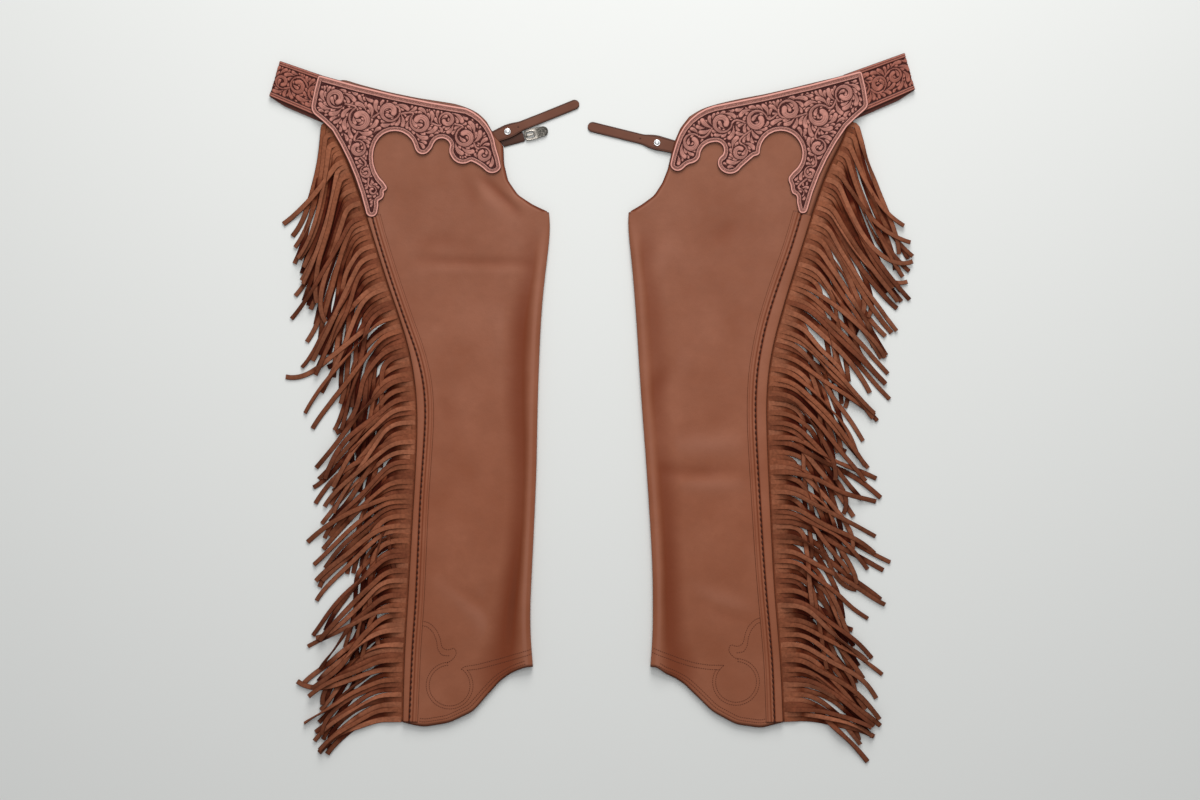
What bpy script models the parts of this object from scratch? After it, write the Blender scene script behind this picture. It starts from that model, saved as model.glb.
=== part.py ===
"""A pair of fringed Western show chaps laid flat, face up, on a level surface.

Each leg is one panel of leather folded over at the inseam. A scalloped yoke lies on its hip, a stub of
belt runs out from under the yoke and folds back, and a seam strip runs down its outer edge. A fringe
comes out between the two layers along that edge, and a strap reaches in from the front of each yoke.

Sizes are in millimetres. "out" is measured from the line between the legs towards either side, "up" is
measured from knee height towards the waist, and z is measured from the surface underneath.
"""

import math
import random

import bmesh
import bpy
import numpy as np

MM = 0.001

# The middle of the finished pair's box, measured from where the tables below start.
MIDDLE_X = -0.5
MIDDLE_Y = 0.2

# Thickness of each leather
LEG_WALL = 2.0
YOKE_WALL = 3.0
BELT_WALL = 2.7
SEAM_STRIP_WALL = 1.4
STRAP_WALL = 2.0
STRAND_WALL = 1.5

# Pieces that meet keep this much air between them.
CLEAR = 0.3

# The leg: its back layer lies on the surface, and its front layer lies over it.
BACK_MIDDLE = LEG_WALL / 2
FRONT_MIDDLE = 5.6
FRONT_TOP = FRONT_MIDDLE + LEG_WALL / 2
FRONT_UNDER = FRONT_MIDDLE - LEG_WALL / 2

SIDES = {"left": -1, "right": 1}

# The outer edge of each leg at heights from the hip to the hem: (up, out_left, out_right)
SEAM_EDGE = [
    (420, 395.3, 388.5),
    (382, 371.0, 362.1),
    (342, 357.0, 346.7),
    (285, 337.3, 327.3),
    (240, 323.8, 313.8),
    (190, 308.3, 298.0),
    (130, 287.1, 280.1),
    (70, 269.9, 264.9),
    (10, 262.5, 260.0),
    (-36, 262.2, 261.0),
    (-100, 265.1, 263.6),
    (-180, 269.9, 267.4),
    (-276, 275.4, 272.3),
    (-380, 281.6, 281.3),
    (-472, 283.5, 285.2),
]

# The folded inseam at heights from the crotch to the hem: (up, out_left, out_right)
FOLD_EDGE = [
    (291.5, 61.5, 50.6),
    (240, 65.1, 56.0),
    (205, 69.8, 59.7),
    (136, 76.5, 65.1),
    (36, 80.7, 71.3),
    (-33, 82.5, 76.3),
    (-96, 83.6, 81.0),
    (-225, 89.3, 88.9),
    (-290, 92.6, 90.1),
    (-336, 93.0, 90.2),
    (-389, 88.7, 86.4),
]

# The hem from the outer seam to the fold: (out, up)
HEM = {
    "left": [
        (283.5, -472), (275.3, -472.5), (262.7, -478.5), (243.8, -478.5), (221.3, -474.9), (195.8, -465.8),
        (174.8, -453), (156.8, -430.8), (136.1, -409.5), (112.8, -396.5), (88.7, -389),
    ],
    "right": [
        (285.2, -472), (275.3, -473), (260.3, -480), (236.3, -479.7), (213.5, -474.8), (190.5, -464.3),
        (167.6, -445.7), (147.5, -423.8), (127.4, -408.8), (104.4, -399.8), (86.4, -389),
    ],
}

# The cut edge from the crotch to the front of the belt line: (out, up)
CROTCH = {
    "left": [(61.5, 291.5), (102, 309.8), (121.5, 330), (131.3, 355.5), (133.5, 391.5)],
    "right": [(50.6, 291.5), (88.7, 313.1), (104.9, 336), (113.3, 357.8), (117.8, 378)],
}
FRONT_CORNER = {
    "left": [(133.5, 391.5), (142.5, 400), (150, 412.5), (158.3, 427)],
    "right": [(117.8, 378), (122.5, 396), (131.3, 417), (144.8, 434.3)],
}

# The top edge of each leg from the belt to the front corner: (out, up)
TOP_EDGE = {
    "left": [(377.3, 490), (348.8, 481.2), (303.8, 470.1), (251.3, 460.2), (206.3, 454.2), (173.3, 441.8),
             (158.3, 427)],
    "right": [(371.3, 496), (355.4, 492.5), (306.5, 480.2), (257.7, 468.6), (209, 458.9), (167, 447.4),
              (144.8, 434.3)],
}

# Shallow creases pressed into a leg's front: (side, out_1, up_1, out_2, up_2, half_width, depth)
CREASES = [
    ("left", 262, 226, 96, 214, 11, 1.1),
    ("left", 300, 180, 250, 120, 14, 0.6),
    ("left", 230, -300, 150, -345, 13, 0.6),
    ("right", 100, -80, 225, -74, 12, 1.0),
    ("right", 120, 66, 88, 20, 16, 0.7),
    ("right", 200, 262, 165, 250, 14, 0.6),
]

# A rounded crest runs beside the fold, then a trough: (distance from the fold, half_width, rise)
FOLD_CREST = (12, 9, 1.15)
FOLD_TROUGH = (37, 14, -1.55)

# A yoke's outline, round from its top outer corner: (out, up, bow), where bow is how far the arc to the
# next corner stands off the straight line between them.
YOKE = {
    "left": [
        (405.0, 495.8, 3.7), (188.2, 447.3, -10.2), (143.8, 387.9, -0.8), (136.0, 357.8, -5.4),
        (158.2, 351.0, 1.6), (181.5, 366.8, -7.3), (211.5, 373.5, -2.6), (213.0, 391.5, 8.8),
        (237.0, 393.0, -1.0), (243.0, 382.5, -7.9), (266.0, 387.0, 0.6), (271.0, 399.3, 15.1),
        (323.1, 394.3, 6.8), (318.0, 343.8, -0.8), (307.0, 330.0, -2.8), (311.7, 322.5, -4.2),
        (319.8, 307.8, -0.9), (320.5, 293.5, -10.1), (339.5, 293.5, 5.3), (389.2, 413.2, 0.8),
        (417.0, 438.0, -2.4), (419.5, 456.0, -0.7), (410.7, 493.5, -1.7),
    ],
    "right": [
        (399.8, 502.5, 2.6), (182.8, 451.5, -11.1), (124.3, 394.3, -0.6), (115.5, 361.5, -7.3),
        (137.2, 357.0, 1.6), (150.3, 363.8, -1.8), (161.2, 374.2, 5.9), (180.8, 395.2, 7.6),
        (194.6, 378.0, -4.0), (187.7, 359.2, -10.9), (222.8, 357.8, 0.2), (241.5, 374.2, -1.0),
        (250.5, 378.1, 0.8), (253.5, 393.8, 17.7), (309.0, 395.2, 5.7), (306.0, 358.5, -0.8),
        (292.5, 343.5, -1.4), (295.5, 331.5, -1.0), (298.5, 318.3, 1.0), (305.2, 314.2, -1.2),
        (307.1, 297.0, -6.5), (321.5, 293.2, 6.6), (380.3, 418.4, 0.5), (407.2, 443.2, -2.5),
        (411.8, 457.5, -0.9), (403.5, 498.8, -1.1),
    ],
}

# The four corners of each belt stub: (out, up) at its inner top, inner foot, outer top and outer foot
BELT = {
    "left": [(383.5, 491.5), (398.5, 429.0), (468.5, 518.3), (484.5, 466.0)],
    "right": [(376.0, 497.3), (389.0, 434.5), (468.0, 530.3), (483.5, 475.8)],
}

SEAM_STRIP_WIDTH = 21
SEAM_STRIP_TOP = {"left": 281, "right": 286}

# The fringe
STRANDS = 100
STRIP_IN = 14
STRIP_OUT = 3
STRAND_ROOT_WIDTH = 5.6
STRAND_TIP_WIDTH = 4.6
STRAND_REACH = (0, 20, 52, 105, 200)
STRAND_BASE = 2.3
LEVEL_STEP = STRAND_WALL + 0.35
LEVELS = [0.35 + LEVEL_STEP * step for step in (0, 2, 1, 3, 4)]

# How the strands hang, from hip to hem: (up, degrees below level, degrees more at the tip, length, and the
# length over which they turn from square to the seam)
HANG = [
    (420, 79, -4, 204, 26),
    (300, 69, 0, 202, 44),
    (180, 58, 5, 198, 58),
    (60, 50, 5, 195, 62),
    (-60, 45, 5, 190, 62),
    (-200, 41, 6, 186, 62),
    (-320, 37, 8, 178, 62),
    (-420, 29, 16, 160, 62),
    (-472, 13, 44, 138, 62),
]
HANG_LENGTH = {"left": 1.01, "right": 1.06}
HIP_SWING = 1.0
LEG_SWING = 2.6

# Strands that stray over the others: (side, strand, degrees below level, length)
STRAYS = [
    ("left", 5, 50, 146),
    ("left", 63, 24, 176),
    ("right", 3, 62, 196),
    ("right", 8, 56, 172),
    ("right", 59, 20, 168),
    ("right", 62, 27, 174),
]

# Each front strap, from the yoke's edge to its round end: where it leaves the yoke, where its tip is,
# how wide it is there, round the rivet and beyond, and how far out the rivet is.
FRONT_STRAPS = {
    "left": {"root": (148.5, 403.9), "tip": (20.2, 456.0), "widths": (17.5, 21.5, 14.7), "rivet": 23.0},
    "right": {"root": (123.0, 389.3), "tip": (-7.0, 421.5), "widths": (19.5, 22.5, 15.2), "rivet": 27.0},
}
STRAP_TUCK = 16
RIVET_RADIUS = 4.8
RIVET_RISE = 2.4

# The buckle under the left front strap: it points from its bar towards its round end.
BUCKLE_BAR = (102.0, 405.8)
BUCKLE_AIM = (0.966, 0.259)
BUCKLE_STRAP = {"lengths": (32.7, 40.7), "width": 15, "thick": 1.6, "corner": 2}
BUCKLE_FRAME = {"length": 25, "width": 17, "thick": 3.0, "hole": (11, 9), "hole_at": 9, "end_radius": 7.5, "end_at": 29}
BUCKLE_TONGUE = {"width": 3.2, "thick": 2.2, "point": 1.2}
BUCKLE_FLOOR = 0.3


# ---------------------------------------------------------------- curves and tables


def smooth_curve(points, count):
    """Points at even steps along a smooth curve through the given ones."""
    given = np.array(points, float)
    before = np.vstack([2 * given[0] - given[1], given[:-1]])
    after = np.vstack([given[1:], 2 * given[-1] - given[-2]])
    slope = (after - before) / 2
    fine = []
    for start, end, slope_1, slope_2 in zip(given[:-1], given[1:], slope[:-1], slope[1:]):
        for t in np.linspace(0, 1, 24, endpoint=False):
            fine.append(
                (2 * t**3 - 3 * t**2 + 1) * start
                + (t**3 - 2 * t**2 + t) * slope_1
                + (3 * t**2 - 2 * t**3) * end
                + (t**3 - t**2) * slope_2
            )
    fine.append(given[-1])
    return along(np.array(fine), np.linspace(0, 1, count))


def along(line, fractions):
    """The points at these fractions of a polyline's length."""
    steps = np.hypot(*np.diff(line[:, :2], axis=0).T)
    run = np.concatenate([[0], np.cumsum(steps)]) / steps.sum()
    return np.array([[np.interp(f, run, axis) for axis in line.T] for f in fractions])


def arc(start, end, bow, steps):
    """Points from start up to, not including, end along the arc that bows out to the left of the way."""
    start, end = np.array(start, float), np.array(end, float)
    chord = end - start
    half = np.hypot(*chord) / 2
    if abs(bow) < 0.3:
        return [start]
    turn = 2 * math.atan(bow / half)
    radius = half / math.sin(turn)
    left = np.array([-chord[1], chord[0]]) / (2 * half)
    centre = (start + end) / 2 - left * radius * math.cos(turn)
    arm = start - centre
    made = []
    for step in range(steps):
        angle = -2 * turn * step / steps
        made.append(centre + [arm[0] * math.cos(angle) - arm[1] * math.sin(angle),
                              arm[0] * math.sin(angle) + arm[1] * math.cos(angle)])
    return made


def ease(value):
    value = np.clip(value, 0, 1)
    return value * value * (3 - 2 * value)


def seam_out(side, up):
    column = 1 if side == "left" else 2
    rows = np.array(SEAM_EDGE[::-1], float)
    curve = smooth_curve(np.column_stack([rows[:, column], rows[:, 0]]), 160)
    return np.interp(up, curve[:, 1], curve[:, 0])


def fold_out(side, up):
    column = 1 if side == "left" else 2
    rows = np.array(FOLD_EDGE[::-1], float)
    return np.interp(up, rows[:, 0], rows[:, column])


def front_height(side, out, up):
    """The middle of the front layer: flat, but for a crest and a trough beside the fold and the creases."""
    inward = out - fold_out(side, up)
    from_seam = seam_out(side, up) - out
    below_crotch = ease((FOLD_EDGE[0][0] + 8 - up) / 90)
    low_down = 0.65 + 0.35 * ease((250 - up) / 450)
    rise = 0.0
    for at, half_width, height in (FOLD_CREST, FOLD_TROUGH):
        rise += height * math.exp(-(((inward - at) / half_width) ** 2)) * low_down
    rise *= below_crotch
    for where, out_1, up_1, out_2, up_2, half_width, depth in CREASES:
        if where != side:
            continue
        way = np.array([out_2 - out_1, up_2 - up_1], float)
        reach = np.clip(np.dot([out - out_1, up - up_1], way) / np.dot(way, way), 0, 1)
        off = math.hypot(*(np.array([out, up]) - [out_1, up_1] - reach * way))
        rise -= depth * math.exp(-((off / half_width) ** 2)) * (0.4 + 0.6 * math.sin(math.pi * reach))
    return FRONT_MIDDLE + rise * ease((from_seam - SEAM_STRIP_WIDTH - 2) / 26)


def placed(side, out, up, z):
    """A point of the tables as a point of the finished object, still in millimetres."""
    return (SIDES[side] * out - MIDDLE_X, up - MIDDLE_Y, z)


# ---------------------------------------------------------------- solids


def leather(name, colour, roughness, metallic=0.0):
    material = bpy.data.materials.new(name)
    material.use_nodes = True
    shader = material.node_tree.nodes["Principled BSDF"]
    shader.inputs["Base Color"].default_value = (*colour, 1)
    shader.inputs["Roughness"].default_value = roughness
    shader.inputs["Metallic"].default_value = metallic
    return material


def finish(name, mesh_maker, material):
    """A bmesh in millimetres as a named object in metres, with its faces turned outwards."""
    bmesh.ops.recalc_face_normals(mesh_maker, faces=mesh_maker.faces)
    mesh_maker.normal_update()
    many_sided = [face for face in mesh_maker.faces if len(face.verts) > 4]
    bmesh.ops.triangulate(mesh_maker, faces=many_sided)
    bmesh.ops.scale(mesh_maker, verts=mesh_maker.verts, vec=(MM, MM, MM))
    mesh = bpy.data.meshes.new(name)
    mesh_maker.to_mesh(mesh)
    mesh_maker.free()
    mesh.materials.append(material)
    built = bpy.data.objects.new(name, mesh)
    bpy.context.scene.collection.objects.link(built)
    return built


def wall(name, outer, inner, material, kept=None):
    """The leather between two matching grids of points, closed round every edge.

    kept says which cells of the grid hold leather, so a grid can have a notch.
    """
    rows, columns = len(outer), len(outer[0])
    maker = bmesh.new()
    skins = [[[None] * columns for _ in range(rows)] for _ in range(2)]
    cells = [(r, c) for r in range(rows - 1) for c in range(columns - 1) if kept is None or kept(r, c)]
    for r, c in cells:
        for skin, grid in zip(skins, (outer, inner)):
            for rr, cc in ((r, c), (r, c + 1), (r + 1, c + 1), (r + 1, c)):
                if skin[rr][cc] is None:
                    skin[rr][cc] = maker.verts.new(grid[rr][cc])
    edges = {}
    for r, c in cells:
        ring = [(r, c), (r, c + 1), (r + 1, c + 1), (r + 1, c)]
        maker.faces.new([skins[0][rr][cc] for rr, cc in ring])
        maker.faces.new([skins[1][rr][cc] for rr, cc in reversed(ring)])
        for start, end in zip(ring, ring[1:] + ring[:1]):
            if (end, start) in edges:
                del edges[(end, start)]
            else:
                edges[(start, end)] = True
    for (r1, c1), (r2, c2) in edges:
        maker.faces.new([skins[0][r2][c2], skins[0][r1][c1], skins[1][r1][c1], skins[1][r2][c2]])
    return finish(name, maker, material)


def plate(name, side, outline, low, high, material):
    """A flat piece cut to an outline."""
    maker = bmesh.new()
    foot = [maker.verts.new(placed(side, out, up, low)) for out, up in outline]
    head = [maker.verts.new(placed(side, out, up, high)) for out, up in outline]
    maker.faces.new(head)
    maker.faces.new(foot[::-1])
    for i in range(len(outline)):
        j = (i + 1) % len(outline)
        maker.faces.new([foot[i], foot[j], head[j], head[i]])
    return finish(name, maker, material)


# ---------------------------------------------------------------- the legs


# Rows of a leg's grid: from the hem to the crotch, on to its front corner, and on to the belt line
ROWS_BELOW, ROWS_CROTCH, ROWS_CORNER = 15, 5, 3
ACROSS = (0, 0.07, 0.15, 0.32, 0.50, 0.65, 0.76, 0.85, 0.92, 0.963, 1)
FOLD_DEPTH = 2.6
FOLD_STEPS = 5


def leg_edges(side):
    """The outer and inner edges of a leg's grid, row by row, and the height along them."""
    column = 1 if side == "left" else 2
    tuck = FOLD_DEPTH + LEG_WALL / 2
    seam = [(row[column], row[0]) for row in SEAM_EDGE[::-1]]
    fold = [(row[column] + tuck, row[0]) for row in FOLD_EDGE[::-1]]
    seam_line = smooth_curve(seam, 400)
    crotch_up, corner_up = FOLD_EDGE[0][0] - 6, CROTCH[side][-1][1] - 10
    below = seam_line[seam_line[:, 1] <= crotch_up]
    beside = seam_line[(seam_line[:, 1] >= crotch_up - 1) & (seam_line[:, 1] <= corner_up)]
    above = seam_line[seam_line[:, 1] >= corner_up - 1]
    hip, belt_corner = np.array(seam[-1], float), np.array(TOP_EDGE[side][0], float)
    outer = np.vstack([
        along(below, np.linspace(0, 1, ROWS_BELOW + 1)),
        along(beside, np.linspace(0, 1, ROWS_CROTCH + 1))[1:],
        [above[-1], hip + (belt_corner - hip) * 0.5, belt_corner],
    ])
    crotch = [fold[-1]] + CROTCH[side][1:]
    inner = np.vstack([
        smooth_curve(fold, ROWS_BELOW + 1),
        smooth_curve(crotch, ROWS_CROTCH + 1)[1:],
        smooth_curve(FRONT_CORNER[side], ROWS_CORNER + 1)[1:],
    ])
    return outer, inner


def leg_plan(side):
    """Where each point of a leg's grid lies, seen from above: between its four edges."""
    outer, inner = leg_edges(side)
    hem = smooth_curve(HEM[side][:-1] + [tuple(inner[0])], 200)
    top = smooth_curve(TOP_EDGE[side], 200)
    foot, head = along(hem, ACROSS), along(top, ACROSS)
    middle = (outer + inner) / 2
    climb = np.concatenate([[0], np.cumsum(np.hypot(*np.diff(middle, axis=0).T))])
    climb /= climb[-1]
    plan = []
    for v, start, end in zip(climb, outer, inner):
        row = []
        for u, low, high in zip(ACROSS, foot, head):
            corners = (1 - v) * ((1 - u) * foot[0] + u * foot[-1]) + v * ((1 - u) * head[0] + u * head[-1])
            row.append((1 - u) * start + u * end + (1 - v) * low + v * high - corners)
        plan.append(row)
    return plan


def make_leg(side, material):
    """One panel: the front layer from seam to fold, round the fold, and the back layer to the seam."""
    outer, inner = [], []
    half = LEG_WALL / 2
    for row in leg_plan(side):
        front = [(out, up, front_height(side, out, up)) for out, up in row]
        fold_x, fold_y, fold_z = front[-1]
        centre, rise = (fold_z + BACK_MIDDLE) / 2, (fold_z - BACK_MIDDLE) / 2
        outer_row = [placed(side, x, y, z + half) for x, y, z in front]
        inner_row = [placed(side, x, y, z - half) for x, y, z in front]
        for step in range(1, FOLD_STEPS):
            angle = math.pi / 2 - math.pi * step / FOLD_STEPS
            for made, more in ((outer_row, half), (inner_row, -half)):
                out = fold_x - (FOLD_DEPTH + more) * math.cos(angle)
                made.append(placed(side, out, fold_y, centre + (rise + more) * math.sin(angle)))
        for x, y, _ in reversed(front):
            outer_row.append(placed(side, x, y, BACK_MIDDLE - half))
            inner_row.append(placed(side, x, y, BACK_MIDDLE + half))
        outer.append(outer_row)
        inner.append(inner_row)
    fold_start = len(ACROSS) - 1

    def kept(r, c):
        return r < ROWS_BELOW or not fold_start <= c < fold_start + FOLD_STEPS

    return wall(f"leg_{side}", outer, inner, material, kept)


# ---------------------------------------------------------------- what lies on the legs


def yoke_outline(side):
    rows = YOKE[side]
    outline = []
    for (out, up, bow), (next_out, next_up, _) in zip(rows, rows[1:] + rows[:1]):
        steps = 1 + min(7, int(abs(bow) ** 0.5 * 1.8))
        outline += [tuple(p) for p in arc((out, up), (next_out, next_up), bow, steps)]
    return outline


def make_yoke(side, material):
    under = FRONT_TOP + CLEAR
    return plate(f"yoke_{side}", side, yoke_outline(side), under, under + YOKE_WALL, material)


def make_belt(side, material):
    """The top layer runs out from beside the leg, turns under, and comes back on the surface."""
    inner_top, inner_foot, outer_top, outer_foot = (np.array(corner, float) for corner in BELT[side])
    half = BELT_WALL / 2
    top_z, low_z = FRONT_TOP - half, half
    length = np.hypot(*((outer_top + outer_foot - inner_top - inner_foot) / 2))
    turn_radius = (top_z - low_z) / 2
    run = 1 - (turn_radius + half) / length
    peek = 5.0
    path = [(0.0, top_z, 0, 1, 0), (run, top_z, 0, 1, 0)]
    for step in range(1, 6):
        angle = math.pi / 2 - math.pi * step / 6
        path.append((run + turn_radius * math.cos(angle) / length, low_z + turn_radius * (1 + math.sin(angle)),
                     math.cos(angle) / length, math.sin(angle), 0))
    path += [(run, low_z, 0, -1, 0.15), (run - 0.25, low_z, 0, -1, 1), (0.2, low_z, 0, -1, 1)]
    grids = []
    for sign in (half, -half):
        grid = []
        for s, z, away_s, away_z, shift in path:
            top = inner_top + (outer_top - inner_top) * (s + sign * away_s)
            foot = inner_foot + (outer_foot - inner_foot) * (s + sign * away_s)
            down = (foot - top) / np.hypot(*(foot - top)) * peek * shift
            height = z + sign * away_z
            grid.append([placed(side, *(top + down), height), placed(side, *(foot + down), height)])
        grids.append(grid)
    return wall(f"belt_{side}", grids[0], grids[1], material)


def seam_line(side, start_up, end_up, inset, count):
    """A line beside the outer seam, this far in from the leg's edge."""
    column = 1 if side == "left" else 2
    line = smooth_curve([(row[column], row[0]) for row in SEAM_EDGE], 300)
    line = line[(line[:, 1] <= start_up) & (line[:, 1] >= end_up)]
    line = along(line, np.linspace(0, 1, count))
    way = np.gradient(line, axis=0)
    way /= np.hypot(*way.T)[:, None]
    inward = np.column_stack([way[:, 1], -way[:, 0]])
    return line + inward * inset, inward


def make_seam_strip(side, material):
    edge, _ = seam_line(side, SEAM_STRIP_TOP[side], -471, 0.3, 22)
    inner, _ = seam_line(side, SEAM_STRIP_TOP[side], -471, SEAM_STRIP_WIDTH, 22)
    low = FRONT_TOP + CLEAR
    grids = [
        [[placed(side, *start, z), placed(side, *end, z)] for start, end in zip(edge, inner)]
        for z in (low + SEAM_STRIP_WALL, low)
    ]
    return wall(f"seam_strip_{side}", grids[0], grids[1], material)


# ---------------------------------------------------------------- the fringe


def strand_path(side, strand, root, away, dice):
    """A strand's points from its root to its tip, with how far along and how wide it is at each."""
    stray = [row for row in STRAYS if row[0] == side and row[1] == strand]
    heights, *columns = (np.array(column, float)[::-1] for column in zip(*HANG))
    hang, droop, length, turn = (np.interp(root[1], heights, column) for column in columns)
    hang += dice.uniform(-1, 1) * (HIP_SWING if root[1] > 150 else LEG_SWING)
    length *= HANG_LENGTH[side] * dice.uniform(0.93, 1.05)
    level = LEVELS[strand % 4]
    if stray:
        hang, length, level = stray[0][2], stray[0][3], LEVELS[4]
    leave = math.degrees(math.atan2(-away[1], away[0]))
    point, made, gone = np.array(root, float), [], 0.0
    fine = 40
    for step in range(fine + 1):
        reach = length * step / fine
        turned = float(ease((reach - 4) / turn))
        heading = math.radians(leave + (hang - leave) * turned + droop * (reach / length) ** 2)
        if step:
            point = point + np.array([math.cos(heading), -math.sin(heading)]) * (reach - gone)
        gone = reach
        z = STRAND_BASE + (level - STRAND_BASE) * float(ease((reach - 1) / 13))
        made.append((point[0], point[1], z, heading))
    made = np.array(made)
    stops = np.array(STRAND_REACH) / STRAND_REACH[-1]
    return np.array([[np.interp(f, np.linspace(0, 1, fine + 1), axis) for axis in made.T] for f in stops])


def make_fringe(side, material):
    """The strip that is sewn into the seam, with every strand growing out of its outer face."""
    dice = random.Random(SIDES[side] + 5)
    outer_edge, inward = seam_line(side, 414, -468, -STRIP_OUT, 2 * STRANDS + 1)
    inner_edge = outer_edge + inward * (STRIP_IN + STRIP_OUT)
    low, high = STRAND_BASE, STRAND_BASE + STRAND_WALL
    maker = bmesh.new()
    share = STRAND_ROOT_WIDTH / (2 * np.hypot(*(outer_edge[1] - outer_edge[0])))
    feet, heads = [], []
    for strand in range(STRANDS):
        start, middle, end = outer_edge[2 * strand:2 * strand + 3]
        for corner in (middle + (start - middle) * share, middle + (end - middle) * share):
            feet.append(maker.verts.new(placed(side, *corner, low)))
            heads.append(maker.verts.new(placed(side, *corner, high)))
    groups = 5
    backs = [[maker.verts.new(placed(side, *inner_edge[2 * strand], z)) for z in (low, high)]
             for strand in [*range(0, STRANDS, groups), STRANDS]]
    for group in range(STRANDS // groups):
        first, last = 2 * groups * group, 2 * groups * (group + 1)
        near, far = backs[group], backs[group + 1]
        reach = last + 1 if group < STRANDS // groups - 1 else last
        maker.faces.new([near[1]] + heads[first:reach] + [far[1]])
        maker.faces.new([far[0]] + feet[first:reach][::-1] + [near[0]])
        maker.faces.new([near[0], near[1], far[1], far[0]])
    for i in range(1, 2 * STRANDS - 1, 2):
        maker.faces.new([feet[i], feet[i + 1], heads[i + 1], heads[i]])
    maker.faces.new([feet[0], heads[0], backs[0][1], backs[0][0]])
    maker.faces.new([feet[-1], heads[-1], backs[-1][1], backs[-1][0]])
    for strand in range(STRANDS):
        ring = [feet[2 * strand], feet[2 * strand + 1], heads[2 * strand + 1], heads[2 * strand]]
        path = strand_path(side, strand, outer_edge[2 * strand + 1], -inward[2 * strand + 1], dice)
        for step, (x, y, z, heading) in enumerate(path[1:], 1):
            reach = step / (len(path) - 1)
            half = (STRAND_ROOT_WIDTH + (STRAND_TIP_WIDTH - STRAND_ROOT_WIDTH) * reach) / 2
            across = np.array([math.sin(heading), math.cos(heading)]) * half
            ends = [(x + across[0], y + across[1]), (x - across[0], y - across[1])]
            following = [maker.verts.new(placed(side, *end, level))
                         for end, level in ((ends[0], z), (ends[1], z), (ends[1], z + STRAND_WALL),
                                            (ends[0], z + STRAND_WALL))]
            for i in range(4):
                maker.faces.new([ring[i], ring[(i + 1) % 4], following[(i + 1) % 4], following[i]])
            ring = following
        maker.faces.new(ring)
    return finish(f"fringe_{side}", maker, material)


# ---------------------------------------------------------------- straps, rivets and buckle


def strap_outline(side):
    """Half widths along a front strap, from its tucked-in root to its tip: (reach, half width)."""
    strap = FRONT_STRAPS[side]
    root, tip = np.array(strap["root"]), np.array(strap["tip"])
    length = np.hypot(*(tip - root))
    at_yoke, at_rivet, beyond = (width / 2 for width in strap["widths"])
    rivet = strap["rivet"]
    rows = [(-STRAP_TUCK, at_yoke), (0, at_yoke), (rivet - 9, at_rivet - 0.6), (rivet, at_rivet),
            (rivet + 9, at_rivet - 0.8), (rivet + 22, beyond), (rivet + 50, beyond), (length - beyond, beyond)]
    for angle in (30, 55, 75):
        turn = math.radians(angle)
        rows.append((length - beyond + beyond * math.sin(turn), beyond * math.cos(turn)))
    return rows, root, (tip - root) / length


def strap_floor(side, reach):
    """The underside of a front strap: it leaves the leg between its layers and comes down to the surface."""
    start = LEG_WALL + CLEAR
    first, last = (48, 84) if side == "left" else (14, 50)
    return start + (BUCKLE_FLOOR - start) * float(ease((reach - first) / (last - first)))


def make_front_strap(side, material):
    rows, root, way = strap_outline(side)
    beside = np.array([-way[1], way[0]])
    grids = []
    for lift in (STRAP_WALL, 0):
        grid = []
        for reach, half in rows:
            middle, z = root + way * reach, strap_floor(side, reach) + lift
            grid.append([placed(side, *(middle + beside * half), z), placed(side, *(middle - beside * half), z)])
        grids.append(grid)
    return wall(f"front_strap_{side}", grids[0], grids[1], material)


def make_rivet(side, material):
    """A domed head, lying on its strap."""
    _, root, way = strap_outline(side)
    reach = FRONT_STRAPS[side]["rivet"]
    out, up = root + way * reach
    low = strap_floor(side, reach) + STRAP_WALL + CLEAR
    maker = bmesh.new()
    profile = [(1.0, 0.0), (1.0, 0.35), (0.8, 0.75), (0.42, 0.97)]
    around = 14
    rings = []
    for share, rise in profile:
        rings.append([
            maker.verts.new(placed(side, out + RIVET_RADIUS * share * math.cos(2 * math.pi * i / around),
                                   up + RIVET_RADIUS * share * math.sin(2 * math.pi * i / around),
                                   low + RIVET_RISE * rise))
            for i in range(around)
        ])
    for lower, upper in zip(rings, rings[1:]):
        for i in range(around):
            j = (i + 1) % around
            maker.faces.new([lower[i], lower[j], upper[j], upper[i]])
    maker.faces.new(rings[0][::-1])
    maker.faces.new(rings[-1])
    return finish(f"rivet_{side}", maker, material)


def beside_buckle(along_it, across):
    """A point of the buckle's own plane as (out, up): along_it runs to its round end."""
    aim = np.array([-BUCKLE_AIM[0], BUCKLE_AIM[1]])
    return np.array(BUCKLE_BAR) + aim * along_it + np.array([aim[1], -aim[0]]) * across


def make_buckle_strap(material):
    """A short strap from the leg's front corner, where its end is cut aslant, to the buckle's bar."""
    strap = BUCKLE_STRAP
    half, corner = strap["width"] / 2, strap["corner"]
    low_length, high_length = strap["lengths"]
    corners = [(-low_length, -half), (-high_length, half), (-CLEAR - corner, half),
               (-CLEAR, half - corner), (-CLEAR, corner - half), (-CLEAR - corner, -half)]
    outline = [beside_buckle(*point) for point in corners]
    return plate("buckle_strap", "left", outline, BUCKLE_FLOOR, BUCKLE_FLOOR + strap["thick"], material)


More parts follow.
